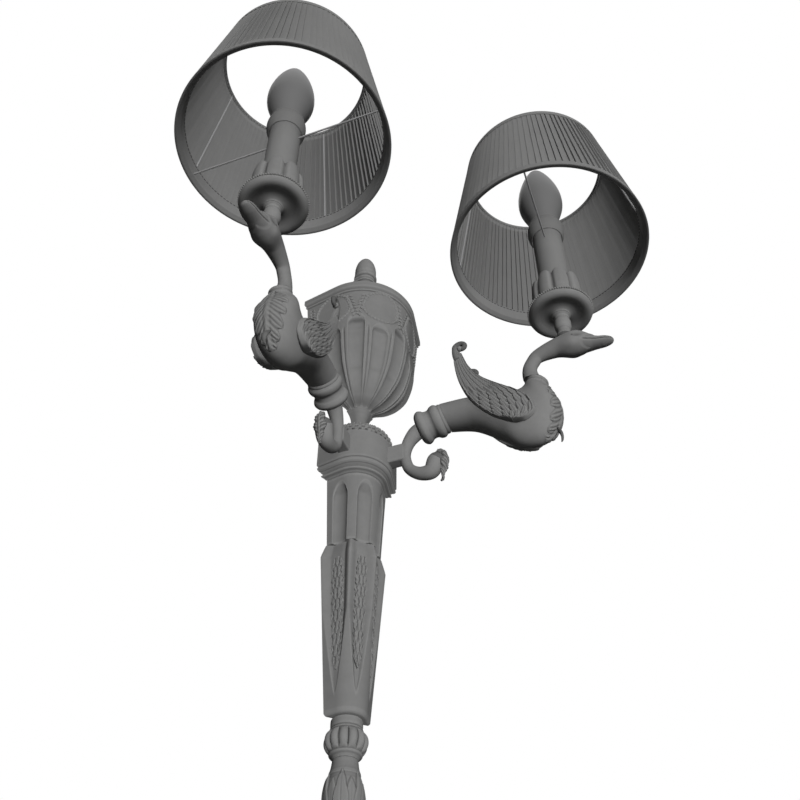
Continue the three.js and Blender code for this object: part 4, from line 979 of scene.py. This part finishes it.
# Neck and head: a round neck that bends back and then out to a flat head, on which the candle
# stands. The bill has a mouth line and a knob at its root, and the eyes are beads in a lid.

neck_rows = [
    [ring_at[0] + out, ring_at[1] + up, high, wide] for out, up, high, wide in
    [[0, -2, 7.8, 7.4], [-3.7, 9, 6.7, 6.2], [-4, 19, 5.9, 5.3], [-0.5, 26.7, 5.8, 5.2]]
] + [
    [candle_reach + out, head_top + up, high, wide] for out, up, high, wide in
    [[-23.5, -14.6, 6.2, 5.7], [-9.5, -10.9, 8.2, 7.8], [2.5, -11.3, 10.6, 9.8],
     [11.5, -12.9, 9.6, 9.6], [19, -15.2, 6.8, 8.2], [25.5, -16.9, 4.6, 6.6],
     [32, -17.7, 3.3, 5.4], [36, -18.1, 2.0, 3.6], [37.6, -18.2, 0.6, 1.1]]
]


def head_relief(u, turn):
    """Added to the radius, turn 0 on the crown: the mouth line is a groove at 106 degrees on
    both sides of the bill, the brow and the cheek swell a little, and the bill's root steps
    in by 0.6 behind a slanting line."""
    along = u * (len(neck_rows) - 1)
    side = np.abs((turn + np.pi) % (2 * np.pi) - np.pi)
    on_bill = ramp((along - 7.3) * 3)
    mouth = -0.75 * bell(side, 1.85, 0.10) * on_bill * ramp((12.2 - along) * 2)
    root = 7.9 + 0.7 * np.cos(side * 1.5)
    step = -0.6 * ramp((along - root) * 3) * ramp((9.6 - along) * 0.9)
    brow = 1.4 * bell(along, 6.6 + 0.9 * (1.0 - side), 0.75) * bell(side, 0.95, 0.26)
    socket = -0.9 * bell(along, 6.75, 0.42) * bell(side, 1.45, 0.22)
    cheek = 1.2 * bell(along, 6.3, 0.6) * bell(side, 2.1, 0.4)
    knob = 0.9 * bell(along, 8.1, 0.32) * bell(side, 0, 0.5)
    return mouth + step + brow + socket + cheek + knob


neck_points, neck_faces = tube(neck_rows, steps=16, columns=96, relief=head_relief)
neck_points = kept_below(neck_points, ring_at, -ring_axis, -ring_half - gap)
neck_points[:, 2] = np.minimum(neck_points[:, 2], head_top)
candle_place = np.array([candle_reach, 0.0, head_top])
seat_keys = [[0.3, -12.0], [6.3, -12.0], [6.4, -2.0], [6.2, -0.3], [5.6, 0.0], [0.3, 0.0]]
head_seat = turned(seat_keys, columns=48, place=candle_place)


def bead(radius, columns=20, rows=11):
    """A ball: radius x sin and cos of the angle from its lower pole."""
    a = np.linspace(0.04, np.pi - 0.04, rows)
    profile = radius * np.stack([np.sin(a), -np.cos(a)], -1)
    return turned(profile, columns, place=np.zeros(3))


def moved(shell, way):
    """A shell moved by a vector."""
    return shell[0] + way, shell[1]


eyes = [moved(bead(1.35), candle_place + [6.5, side * 8.5, -10.0]) for side in (-1, 1)]
cast_on_arms("swan_neck_cast", several([(neck_points, neck_faces), head_seat, *eyes]),
             "swan_neck", crisp=50.0)


# Wings: each is one casting. Scale feathers cover the shoulder, long ones run from there to
# the tip, and the tip curls into a small volute. Its inner side is plain and is pinned down
# to the body.

wing_front_edge = [
    [92.1, -5.6], [102.6, -7], [110.5, 0], [108.3, 12.4], [101.2, 22.6], [86.2, 35.9], [70.8, 50.8],
    [61.6, 66.1], [57.2, 79.9], [56.4, 83.0],
]
wing_rear_edge = [
    [92.1, -5.6], [76.8, 4.6], [61.3, 25.4], [52.4, 49.9], [48.9, 74], [49.5, 91],
]


def even(keys, count):
    """Points at equal distances along a spline through the keys."""
    fine = spline(keys, 24)
    along = np.concatenate([[0.0], np.cumsum(np.linalg.norm(np.diff(fine, axis=0), axis=1))])
    at = np.linspace(0.0, along[-1], count)
    return np.stack([np.interp(at, along, fine[:, k]) for k in range(2)], -1)


def feathers(s, t):
    """Height over the wing, s from the shoulder 0 to the tip 1 and t from the leading edge 0 to
    the trailing edge 1. Scale feathers up to s = 0.5 fade into long ones, which are ridges
    that part at creases; a plain bead follows the leading edge."""
    bow = s + 0.10 * np.sin(np.pi * t) - 0.05
    short = scales(14 * bow + 30, 6.5 * t, rounded=0.7, slope=1.5, crease=0.8)
    barbs = 0.07 * np.sin(2 * np.pi * (26 * t + 60 * bow))
    lane = (6 * t + 1.2 * s) % 1.0
    long_ones = 0.9 * lane ** 0.8 * (1 - lane ** 8) - 0.18 * bell(lane, 0.55, 0.05)
    long_barbs = 0.06 * np.sin(2 * np.pi * (48 * s + 3.0 * lane))
    change = ramp((bow - 0.46) / 0.12 + 0.35 * np.sin(2 * np.pi * 6 * t))
    height = (1.15 * short + barbs) * (1 - change) + (long_ones + long_barbs) * change
    rim = ramp(t / 0.05) * ramp((1 - t) / 0.04)
    border = 0.9 * bell(t, 0.035, 0.022) * ramp(s * 12)
    root = ramp(s / 0.05)
    return height * rim * root * (1 - 0.45 * s) + border


def wing():
    """Straight lines from the leading edge to the trailing edge at equal shares of their
    lengths. With r = sin(pi t)^0.35 the outer face is at 16.6 + 1.6 r + feathers and the inner
    one at 15.2 + 1.2 (1 - r), less the pad that seats it on the body."""
    rows, columns = 250, 120
    leading, trailing = even(wing_front_edge, rows), even(wing_rear_edge, rows)
    s = np.linspace(0, 1, rows)[:, None]
    t = np.linspace(0, 1, columns)[None]
    place = leading[:, None] * (1 - t[..., None]) + trailing[:, None] * t[..., None]
    round_off = np.sin(np.pi * t) ** 0.35
    face = 16.6 + 1.6 * round_off + feathers(s, t)
    pad = 5.0 * ramp(1 - ((s - 0.3) / 0.3) ** 2) * np.sin(np.pi * t)
    inner = 15.2 + 1.2 * (1 - round_off) - pad

    def at(level):
        return np.stack([scroll_out + place[..., 0], level, place[..., 1]], -1)

    return closed(np.concatenate([at(face), at(inner)[:, ::-1]], 1))


def wing_volute():
    """A tapering rod wound in a tight spiral of nearly a turn that ends in a small ball."""
    t = np.linspace(0, 1, 14)
    turn = np.radians(176 - 290 * t)
    radius = 5.0 * (1 - 0.55 * t ** 0.9)
    curl = np.stack([55.6 + radius * np.cos(turn), 92.4 + radius * np.sin(turn),
                     2.7 - 0.7 * t, 2.2 - 0.4 * t], -1)
    rows = np.vstack([[52.6, 77.0, 3.4, 1.9], [50.6, 85.0, 2.8, 2.0], curl]) + [scroll_out, 0, 0, 0]
    end_out, end_up = rows[-1, :2]
    return several([moved(tube(rows, steps=6, columns=24), [0, 16.7, 0]),
                    moved(bead(2.5), [end_out, 16.9, end_up])])


wing_points, wing_faces = several([wing(), wing_volute()])
for place_word, across_side in (("front", -1), ("back", 1)):
    cast_on_arms(f"wing_{place_word}_cast", (wing_points * [1, across_side, 1], wing_faces),
                 f"wing_{place_word}")


# Candle base on each head: a stem with a ball, a drip pan with a beaded edge and a cup of
# eight fat petals. All turned or cast bronze, clamped by the threaded tube inside them.

stem_keys = [
    [4.3, 0.3], [6.2, 0.3], [6.4, 1.2], [6.0, 2.4], [5.6, 4.2], [5.5, 7.4], [6.0, 8.4],
    [6.9, 10.8], [7.1, 14.4], [6.9, 17.2], [6.1, 19.8], [5.7, 20.8], [6.1, 21.4], [6.2, 22.2],
    [6.0, 22.8], [6.4, 23.8], [7.3, 25.0], [4.3, 25.0],
]


def hollow_turned(keys, bottom, steps, columns=72, wave=None):
    """A turned piece with a bore on the candle's axis, its keys measured up from its bottom: the
    profile runs round its own section and closes."""
    return turned(spline(np.array(keys) + [0, bottom], steps), columns, wave, candle_place,
                  loop=True)


cast_on_arms("pan_stem_cast", hollow_turned(stem_keys, bottom=0.0, steps=5), "pan_stem")

pan_bottom = 25.3
pan_keys = [
    [4.3, 0.0], [7.3, 0.0], [7.7, 0.5], [8.6, 1.5], [10.6, 2.3], [13.4, 2.5], [16.2, 1.9],
    [18.6, 1.0], [20.8, 0.4], [22.9, 0.4], [24.8, 1.1], [26.3, 2.6], [26.9, 4.2], [26.3, 5.6],
    [26.0, 6.6], [24.8, 6.8], [23.6, 5.4], [21.6, 3.4], [18.0, 3.1], [4.3, 3.1],
]


def round_candle(shell, count, radius, level, facing=True):
    """Copies of a shell set evenly round the candle's axis, each facing it or all alike."""
    turn = circle(count)
    moves = np.tile(np.eye(4), (count, 1, 1))
    if facing:
        moves[:, 0, 0], moves[:, 0, 1] = np.cos(turn), -np.sin(turn)
        moves[:, 1, 0], moves[:, 1, 1] = np.sin(turn), np.cos(turn)
    moves[:, 0, 3], moves[:, 1, 3] = radius * np.cos(turn), radius * np.sin(turn)
    moves[:, 2, 3] = level
    return moved(copies(shell, moves), candle_place)


cast_on_arms("drip_pan_cast", several([
    hollow_turned(pan_keys, pan_bottom, steps=4, columns=96),
    round_candle(bead(1.0, 8, 6), count=84, radius=26.9, level=pan_bottom + 6.1,
                 facing=False)]), "drip_pan")

cup_bottom, cup_steps = 28.7, 6
cup_keys = [
    [4.3, 0.0], [9.4, 0.0], [11.0, 0.4], [14.6, 1.6], [18.2, 4.4], [20.6, 9], [21.8, 15],
    [22.0, 21], [21.7, 28], [21.0, 34], [20.2, 38.0], [19.5, 40.4], [18.5, 41.7], [17.3, 42.0],
    [16.3, 41.1], [15.6, 39.2], [14.6, 37.2], [13.6, 35.8], [13.6, 20.0], [13.6, 6.4], [4.3, 6.4],
]


def petals(turn, level):
    """Between the petals the radius goes in by up to 2 x |cos 4t|^14 + 0.9 x |cos 4t|^2, on the
    outside only, and the rolled top drops by 3.4 x |cos 4t|^4."""
    up = level - cup_bottom
    key_number = np.arange(len(level))[:, None] / cup_steps
    outside = np.interp(key_number, [12, 16], [1, 0])
    ridge = np.abs(np.cos(4 * turn))
    drop = ridge ** 4 * ramp((up - 29) / 12) ** 1.5
    return (2.0 * ridge ** 14 + 0.9 * ridge ** 2) * ramp(up / 6) * outside, -3.4 * drop


cast_on_arms("petal_cup_cast", hollow_turned(cup_keys, cup_bottom, cup_steps, 256, petals),
             "petal_cup")


# Candle: a smooth sleeve over the lampholder with a bulged cap pushed down on it, both moulded
# and matt. Inside stands the lampholder, and in it the bulb's screw cap.

def moulded_grain_and_crease_shade(place, edge):
    """Moulded matt surface: even tone with a fine orange-peel bump and slight handling marks."""
    cloud = place.noise(45.0, 4.0)
    peel = place.noise(1300.0, 2.0)
    rub = place.noise(210.0, 3.0, 0.5, (1.0, 1.0, 0.25))
    # the edge value paints shade into the creases and makes sharp edges paler
    return cloud * 0.5 + rub * 0.3 + edge * 0.4 + 0.1, rub * 0.14 - 0.07, peel * 0.02


sleeve_matt = finish("sleeve_moulding", (0.19, 0.19, 0.188), 0.62, moulded_grain_and_crease_shade, spread=0.12,
                     shine=0.03)
holder_dark = finish("holder_moulding", (0.07, 0.07, 0.072), 0.42, moulded_grain_and_crease_shade, spread=0.2)

candle_bottom = 35.4
candle_top = candle_bottom + 117.9
cap_bottom = candle_top - 17.9
sleeve_profile = [
    [12.1, candle_bottom], [12.9, candle_bottom], [13.3, candle_bottom + 0.4],
    [13.3, candle_bottom + 40], [13.3, candle_bottom + 80], [13.3, candle_top - 0.4],
    [13.0, candle_top], [12.1, candle_top],
]
put_on_arms("candle_sleeve_tube", turned(sleeve_profile, place=candle_place, loop=True),
            sleeve_matt, ["candle_sleeve"])

cap_keys = [
    [13.6, 0], [14.2, 0.0], [14.5, 0.3], [15.3, 2.2], [16.2, 5.0], [16.75, 10], [16.4, 14.4],
    [15.5, 17.8], [14.6, 19.6], [14.3, 20.3], [14.8, 20.9], [14.9, 21.6], [14.5, 22.3],
    [13.6, 22.5], [13.1, 22.2], [13.0, 21.0], [13.0, 18.4], [13.6, 18.2], [13.6, 9.0],
]
put_on_arms("sleeve_cap_moulding", hollow_turned(cap_keys, cap_bottom, steps=4), sleeve_matt,
            ["sleeve_cap"])
for word in sides:
    dress(f"{word}_lampholder", holder_dark)


# Bulb: a frosted candle bulb, egg shaped with a soft point, screwed into the lampholder. It
# turns with its brass cap.

def frost_and_crease_shade(place, edge):
    """Frosted glass: very even tone and a soft cloud where the frost thins."""
    cloud = place.noise(30.0, 3.0)
    grain = place.noise(2200.0, 2.0)
    # the edge value paints a faint shade into creases and makes sharp edges a little paler
    return cloud * 0.5 + 0.25 + edge * 0.1, cloud * 0.1 - 0.05, grain * 0.006


frosted = finish("frosted_glass", (0.185, 0.185, 0.185), 0.38, frost_and_crease_shade, spread=0.06, shine=0.05)


def rolled(place, edge):
    """Thin rolled brass: fine lines round it, dull toward grey."""
    lines = place.noise(600.0, 2.0, 0.6, (0.1, 0.1, 1.0))
    cloud = place.noise(70.0, 3.0)
    return lines * 0.4 + cloud * 0.5, lines * 0.2 - 0.1, lines * 0.03


cap_brass = finish("rolled_brass", (0.34, 0.32, 0.27), 0.35, rolled, metallic=0.85, spread=0.15)

bulb_bottom = candle_top - 3.0
bulb_keys = [
    [8.4, 0], [9.6, 2.0], [12.0, 8.0], [14.6, 18], [17.6, 27], [20.2, 36.5], [20.9, 45], [20.1, 55],
    [17.6, 67], [13.6, 80], [8.6, 92.2], [5.4, 97.2], [2.6, 99.6], [0.3, 100.2],
]
bulb_profile = np.vstack([[0.3, 0], spline(bulb_keys, 6)]) + [0, bulb_bottom]
put_on_arms("bulb_envelope", turned(bulb_profile, 80, place=candle_place), frosted,
            ["bulb"], body="bulb")
for word in sides:
    dress(f"{word}_bulb_cap", cap_brass)


# Shade frame: round steel wire under enamel, a ring at each end of the shade, four struts
# between them and one straight wire across the lower ring that stands against the sleeve.

def enamelled(place, edge):
    """Enamelled wire: even, a little glossy, with tiny runs along it."""
    runs = place.noise(300.0, 2.0)
    return runs * 0.7 + 0.1, runs * 0.12 - 0.06, runs * 0.02


wire_enamel = finish("wire_enamel", (0.3, 0.3, 0.302), 0.4, enamelled, spread=0.12)

shade_low, shade_tall = 119.2, 133.2
shade_top = shade_low + shade_tall
wide_radius, narrow_radius = 90.0, 67.6
shade_slope = (wide_radius - narrow_radius) / shade_tall
wire_radius = 0.8
wire_inset = 3.2
cross_start = 13.7


def shade_radius(level, inset=0.0):
    """The shade's outer radius falls evenly from 90 at the bottom to 67.6 at the top."""
    return wide_radius - shade_slope * (level - shade_low) - inset


def wire_ring(level):
    """A torus of the wire's radius at that height, just inside the cloth."""
    turn = circle(144)[:, None]
    around = circle(14)[None]
    radius = shade_radius(level, wire_inset) + wire_radius * np.cos(around)
    return closed(together(radius * np.cos(turn), radius * np.sin(turn),
                           level + wire_radius * np.sin(around)), loop=True)


def straight_wire(start, end, columns=12):
    """A round wire between two points, with its ends cut square."""
    start, end = np.asarray(start, float), np.asarray(end, float)
    way = (end - start) / np.linalg.norm(end - start)
    side = np.cross(way, [0.3, 0.5, 0.81])
    side /= np.linalg.norm(side)
    other = np.cross(way, side)
    turn = circle(columns)[None, :, None]
    line = start + (end - start) * np.linspace(0, 1, 8)[:, None]
    return closed(line[:, None] + wire_radius * (side * np.cos(turn) + other * np.sin(turn)))


def shade_frame():
    """Both rings, the four struts and the two halves of the cross wire, which run from two of
    the struts to the sleeve."""
    low, high = shade_low + 4.0, shade_top - 4.0
    low_radius, high_radius = shade_radius(low, wire_inset), shade_radius(high, wire_inset)
    found = [wire_ring(low), wire_ring(high)]
    for x, y in ((1, 0), (0, 1), (-1, 0), (0, -1)):
        found.append(straight_wire([low_radius * x, low_radius * y, low],
                                   [high_radius * x, high_radius * y, high]))
    for side in (-1, 1):
        found.append(straight_wire([0, side * cross_start, low], [0, side * low_radius, low]))
    return several(found)


put_on_arms("shade_wires", moved(shade_frame(), candle_place), wire_enamel,
            ["shade_frame"], body="shade")


# Pleated cloth: one strip pressed into ninety-six knife pleats and sewn between the bands,
# which press them flatter. Outside and inside show them.

def weave_and_fold_shade(place, edge):
    """Plain weave read from the cloth's own map, 1.6 threads to the millimetre each way:
    height = the product of both directions' sines, with slubs that wander along the threads."""
    map_place = place.node("UVMap", {"uv_map": "cloth"})
    warp, weft = (
        (place.node("SeparateXYZ", None, {0: map_place}, out=k) * (2 * np.pi * 800.0)).sine()
        for k in (0, 1))
    slub = map_place.noise(900.0, 2.0, 0.5, (1.0, 0.05, 1.0))
    cross = map_place.noise(900.0, 2.0, 0.5, (0.05, 1.0, 1.0))
    cloud = place.noise(22.0, 4.0)
    thread = warp * weft
    # the edge value paints shade into the pleats' inner folds and creases and makes outer folds
    # paler
    tone = slub * 0.35 + cross * 0.3 + cloud * 0.4 + edge * 0.5 + thread * 0.06 - 0.03
    return tone, slub * 0.1 - 0.05, thread * 0.03 + slub * 0.05 + cross * 0.04


cloth = finish("pleated_cloth", (0.185, 0.185, 0.183), 0.86, weave_and_fold_shade, spread=0.2, shine=0.03)
band_cloth = finish("band_cloth", (0.2, 0.2, 0.198), 0.8, weave_and_fold_shade, spread=0.14, shine=0.03)


mean_radius = 0.078


def lay_map(piece):
    """The cloth's map in metres: u round the candle's axis at the mean radius, v up. A face that
    crosses the map's seam keeps its corners together."""
    mesh = piece.data
    side = 1 if piece.name.startswith("right") else -1
    layer = mesh.uv_layers.new(name="cloth")
    corner = np.empty(len(mesh.loops), int)
    mesh.loops.foreach_get("vertex_index", corner)
    place = np.empty(len(mesh.vertices) * 3)
    mesh.vertices.foreach_get("co", place)
    x, y, z = place.reshape(-1, 3)[corner].T
    middle = on_arm((candle_place[None], None), side)[0][0] / 1000
    turn = np.arctan2(y - middle[1], x - middle[0])
    starts = np.empty(len(mesh.polygons), int)
    mesh.polygons.foreach_get("loop_start", starts)
    first = np.repeat(turn[starts], np.diff(np.append(starts, len(mesh.loops))))
    turn = turn - 2 * np.pi * np.round((turn - first) / (2 * np.pi))
    layer.data.foreach_set("uv", np.stack([turn * mean_radius, z], -1).ravel())


pleats = 96
cloth_thick = 0.62


def pleat_line(level, inset, depth):
    """Points of the folded cloth's outer face at one height. A pleat stands proud at its fold
    and falls evenly by depth to the riser of the next one. The folds are a little uneven, and
    each pleat stretches evenly between its own fold and the next one."""
    k = np.arange(pleats)[:, None]
    pitch = 2 * np.pi / pleats
    uneven = 0.06 * np.sin(k * 2.399) + 0.03 * np.sin(k * 5.1)
    steps = np.array([0.0, 0.05, 0.45, 0.8, 0.955])
    falls = np.array([0.06, 0.0, 0.42, 0.84, 1.0])
    turn = ((k + steps + uneven * (1 - steps) + np.roll(uneven, -1) * steps) * pitch).ravel()
    out = shade_radius(level, inset) - depth * np.tile(falls, pleats)
    return np.stack([out * np.cos(turn), out * np.sin(turn), np.full(turn.shape, level)], -1)


def pleated_strip():
    """Outer face and inner face, one thickness apart, closed along both edges. Under the bands
    the pleats are pressed flatter."""
    low, high = shade_low + 0.9, shade_top - 0.9
    pressed, free = (0.95, 0.6), (0.1, 1.6)
    rows = [(low, pressed), (shade_low + 6.9, pressed)]
    rows += [(level, free) for level in np.linspace(shade_low + 7.8, shade_top - 7.8, 10)]
    rows += [(shade_top - 6.9, pressed), (high, pressed)]
    outer = [pleat_line(level, inset, depth) for level, (inset, depth) in rows]
    inner = [pleat_line(level, inset + cloth_thick, depth) for level, (inset, depth) in rows[::-1]]
    return closed(np.array(outer + inner), loop=True)


fold_under = 0.95
strip_length = (2 * np.pi * shade_radius(shade_low) + 2 * fold_under * pleats) / 1000
for piece in put_on_arms("shade_pleats", moved(pleated_strip(), candle_place), cloth,
                         ["shade_fabric"], body="shade", crisp=20.0):
    lay_map(piece)


# Bands: a plain folded strip binds each edge of the shade, deeper inside at the lower edge. Its
# hem is stitched through the cloth beside the wire.

def band(corners):
    """The band's folded section turned about the candle's axis: [inset, height] corners, cut
    into steps of 0.35 and eased over one of them."""
    keys = np.array([[shade_radius(z, inset), z] for inset, z in corners])
    profile = moulding(np.vstack([keys, keys[:1]]), 0.35)[:-1]
    return turned(profile, 192, place=candle_place, loop=True)


def stitches(level, inset, count):
    """Running stitches: rods 2.3 long and 0.34 in radius laid on the hem along its circle."""
    points, faces = straight_wire([0, -1.15, 0], [0, 1.15, 0], 6)
    thin = 0.34 / wire_radius
    return round_candle((points * [thin, 1, thin], faces), count, shade_radius(level, inset), level)


thread = finish("sewing_thread", (0.06, 0.06, 0.06), 0.8, enamelled, spread=0.3)
hem_outer, hem_inner = 4.2, 4.75


def folded(end, way, inside):
    """Corners of a band from its end level: 7 deep outside, as deep as told inside, with the
    fold drawn in round the frame's ring. way is 1 upward and -1 downward."""
    corners = [[0.0, 0.3], [0.0, 7.0], [0.75, 7.0], [0.75, 0.7], [1.6, 0.7], [hem_outer, 2.9],
               [hem_outer, inside], [hem_inner, inside], [hem_inner, 2.5], [1.8, 0.0], [0.3, 0.0]]
    return [[inset, end + way * up] for inset, up in corners]


for band_word, corners, stitch_level, count in (
        ("bottom", folded(shade_low, way=1, inside=13.5), shade_low + 12.0, 150),
        ("top", folded(shade_top, way=-1, inside=7.0), shade_top - 5.8, 120)):
    for piece in put_on_arms(f"shade_{band_word}_binding", band(corners), band_cloth,
                             [f"shade_{band_word}_band"], body="shade", crisp=60.0):
        lay_map(piece)
    put_on_arms(f"shade_{band_word}_stitches", stitches(stitch_level, hem_inner + 0.05, count),
                thread, body="shade")


# Room: a pale floor below the sconce, soft lamps from the front and a weak one from behind and
# above, and the camera of the photograph, which looks up from below and from the left.

def seen_directly(tree):
    """1 for a ray from the camera, for a reflection and for a view through, and else 0."""
    camera_ray, glossy_ray, through = (Socket(tree).node("LightPath", out=k) for k in (0, 3, 6))
    return (camera_ray + glossy_ray + through).held(0.0, 1.0)


def white_when_seen(tree, lit, kind, out_node):
    """Mixes a lit shader with plain white light, which is what the camera sees."""
    white = Socket(tree).node(kind, None, {"Color": (1, 1, 1, 1), "Strength": 1.0})
    chosen = Socket(tree).node("MixShader", None, {0: seen_directly(tree), 1: lit, 2: white})
    tree.links.new(chosen.output, out_node.inputs["Surface"])


floor_level, floor_reach = -1.1, 1.6
floor_corners = [(x * floor_reach, y * floor_reach, floor_level)
                 for x, y in ((-1, -1), (1, -1), (1, 1), (-1, 1))]
floor_mesh = bpy.data.meshes.new("floor")
floor_mesh.from_pydata(floor_corners, [], [(0, 1, 2, 3)])
floor = bpy.data.objects.new("floor", floor_mesh)
pale = bpy.data.materials.new("pale_floor")
pale.use_nodes = True
pale_tree = pale.node_tree
pale_shader = pale_tree.nodes["Principled BSDF"]
pale_shader.inputs["Base Color"].default_value = (0.72, 0.72, 0.72, 1.0)
pale_shader.inputs["Roughness"].default_value = 0.9
white_when_seen(pale_tree, Socket(pale_tree, pale_shader.outputs[0]), "Emission",
                pale_tree.nodes["Material Output"])
floor_mesh.materials.append(pale)
bpy.context.scene.collection.objects.link(floor)

world = bpy.data.worlds.new("white_room")
bpy.context.scene.world = world
world.use_nodes = True
world_tree = world.node_tree
room_light = Socket(world_tree).node("Background", None, {"Color": (1, 1, 1, 1), "Strength": 0.03})
white_when_seen(world_tree, room_light, "Background", world_tree.nodes["World Output"])


def lamp(name, azimuth, elevation, strength, softness, shadow):
    """A distant lamp with a soft edge. Azimuth 0 is straight in front, 90 at the right."""
    light = bpy.data.lights.new(name, "SUN")
    light.energy = strength
    light.angle = np.radians(softness)
    light.use_shadow = shadow
    hung = bpy.data.objects.new(name, light)
    hung.rotation_euler = np.radians([90 - elevation, 0, azimuth])
    bpy.context.scene.collection.objects.link(hung)


lamp("key", azimuth=-8.0, elevation=-9.0, strength=0.5, softness=30.0, shadow=True)
lamp("front", azimuth=-8.0, elevation=-9.0, strength=2.7, softness=20.0, shadow=False)
lamp("behind", azimuth=170.0, elevation=50.0, strength=0.3, softness=40.0, shadow=True)

camera_yaw, camera_tilt = -24.68, 45.41
camera_focus, image_size = 965.7, 800
camera_data = bpy.data.cameras.new("photo_camera")
camera_data.sensor_width = 36.0
camera_data.lens = camera_focus / image_size * camera_data.sensor_width
camera = bpy.data.objects.new("photo_camera", camera_data)
camera.location = (-0.21256, -0.56033, -0.5121)
camera.rotation_euler = np.radians([90 + camera_tilt, 0, camera_yaw])
bpy.context.scene.collection.objects.link(camera)
bpy.context.scene.camera = camera
bpy.context.scene.view_settings.view_transform = "Standard"
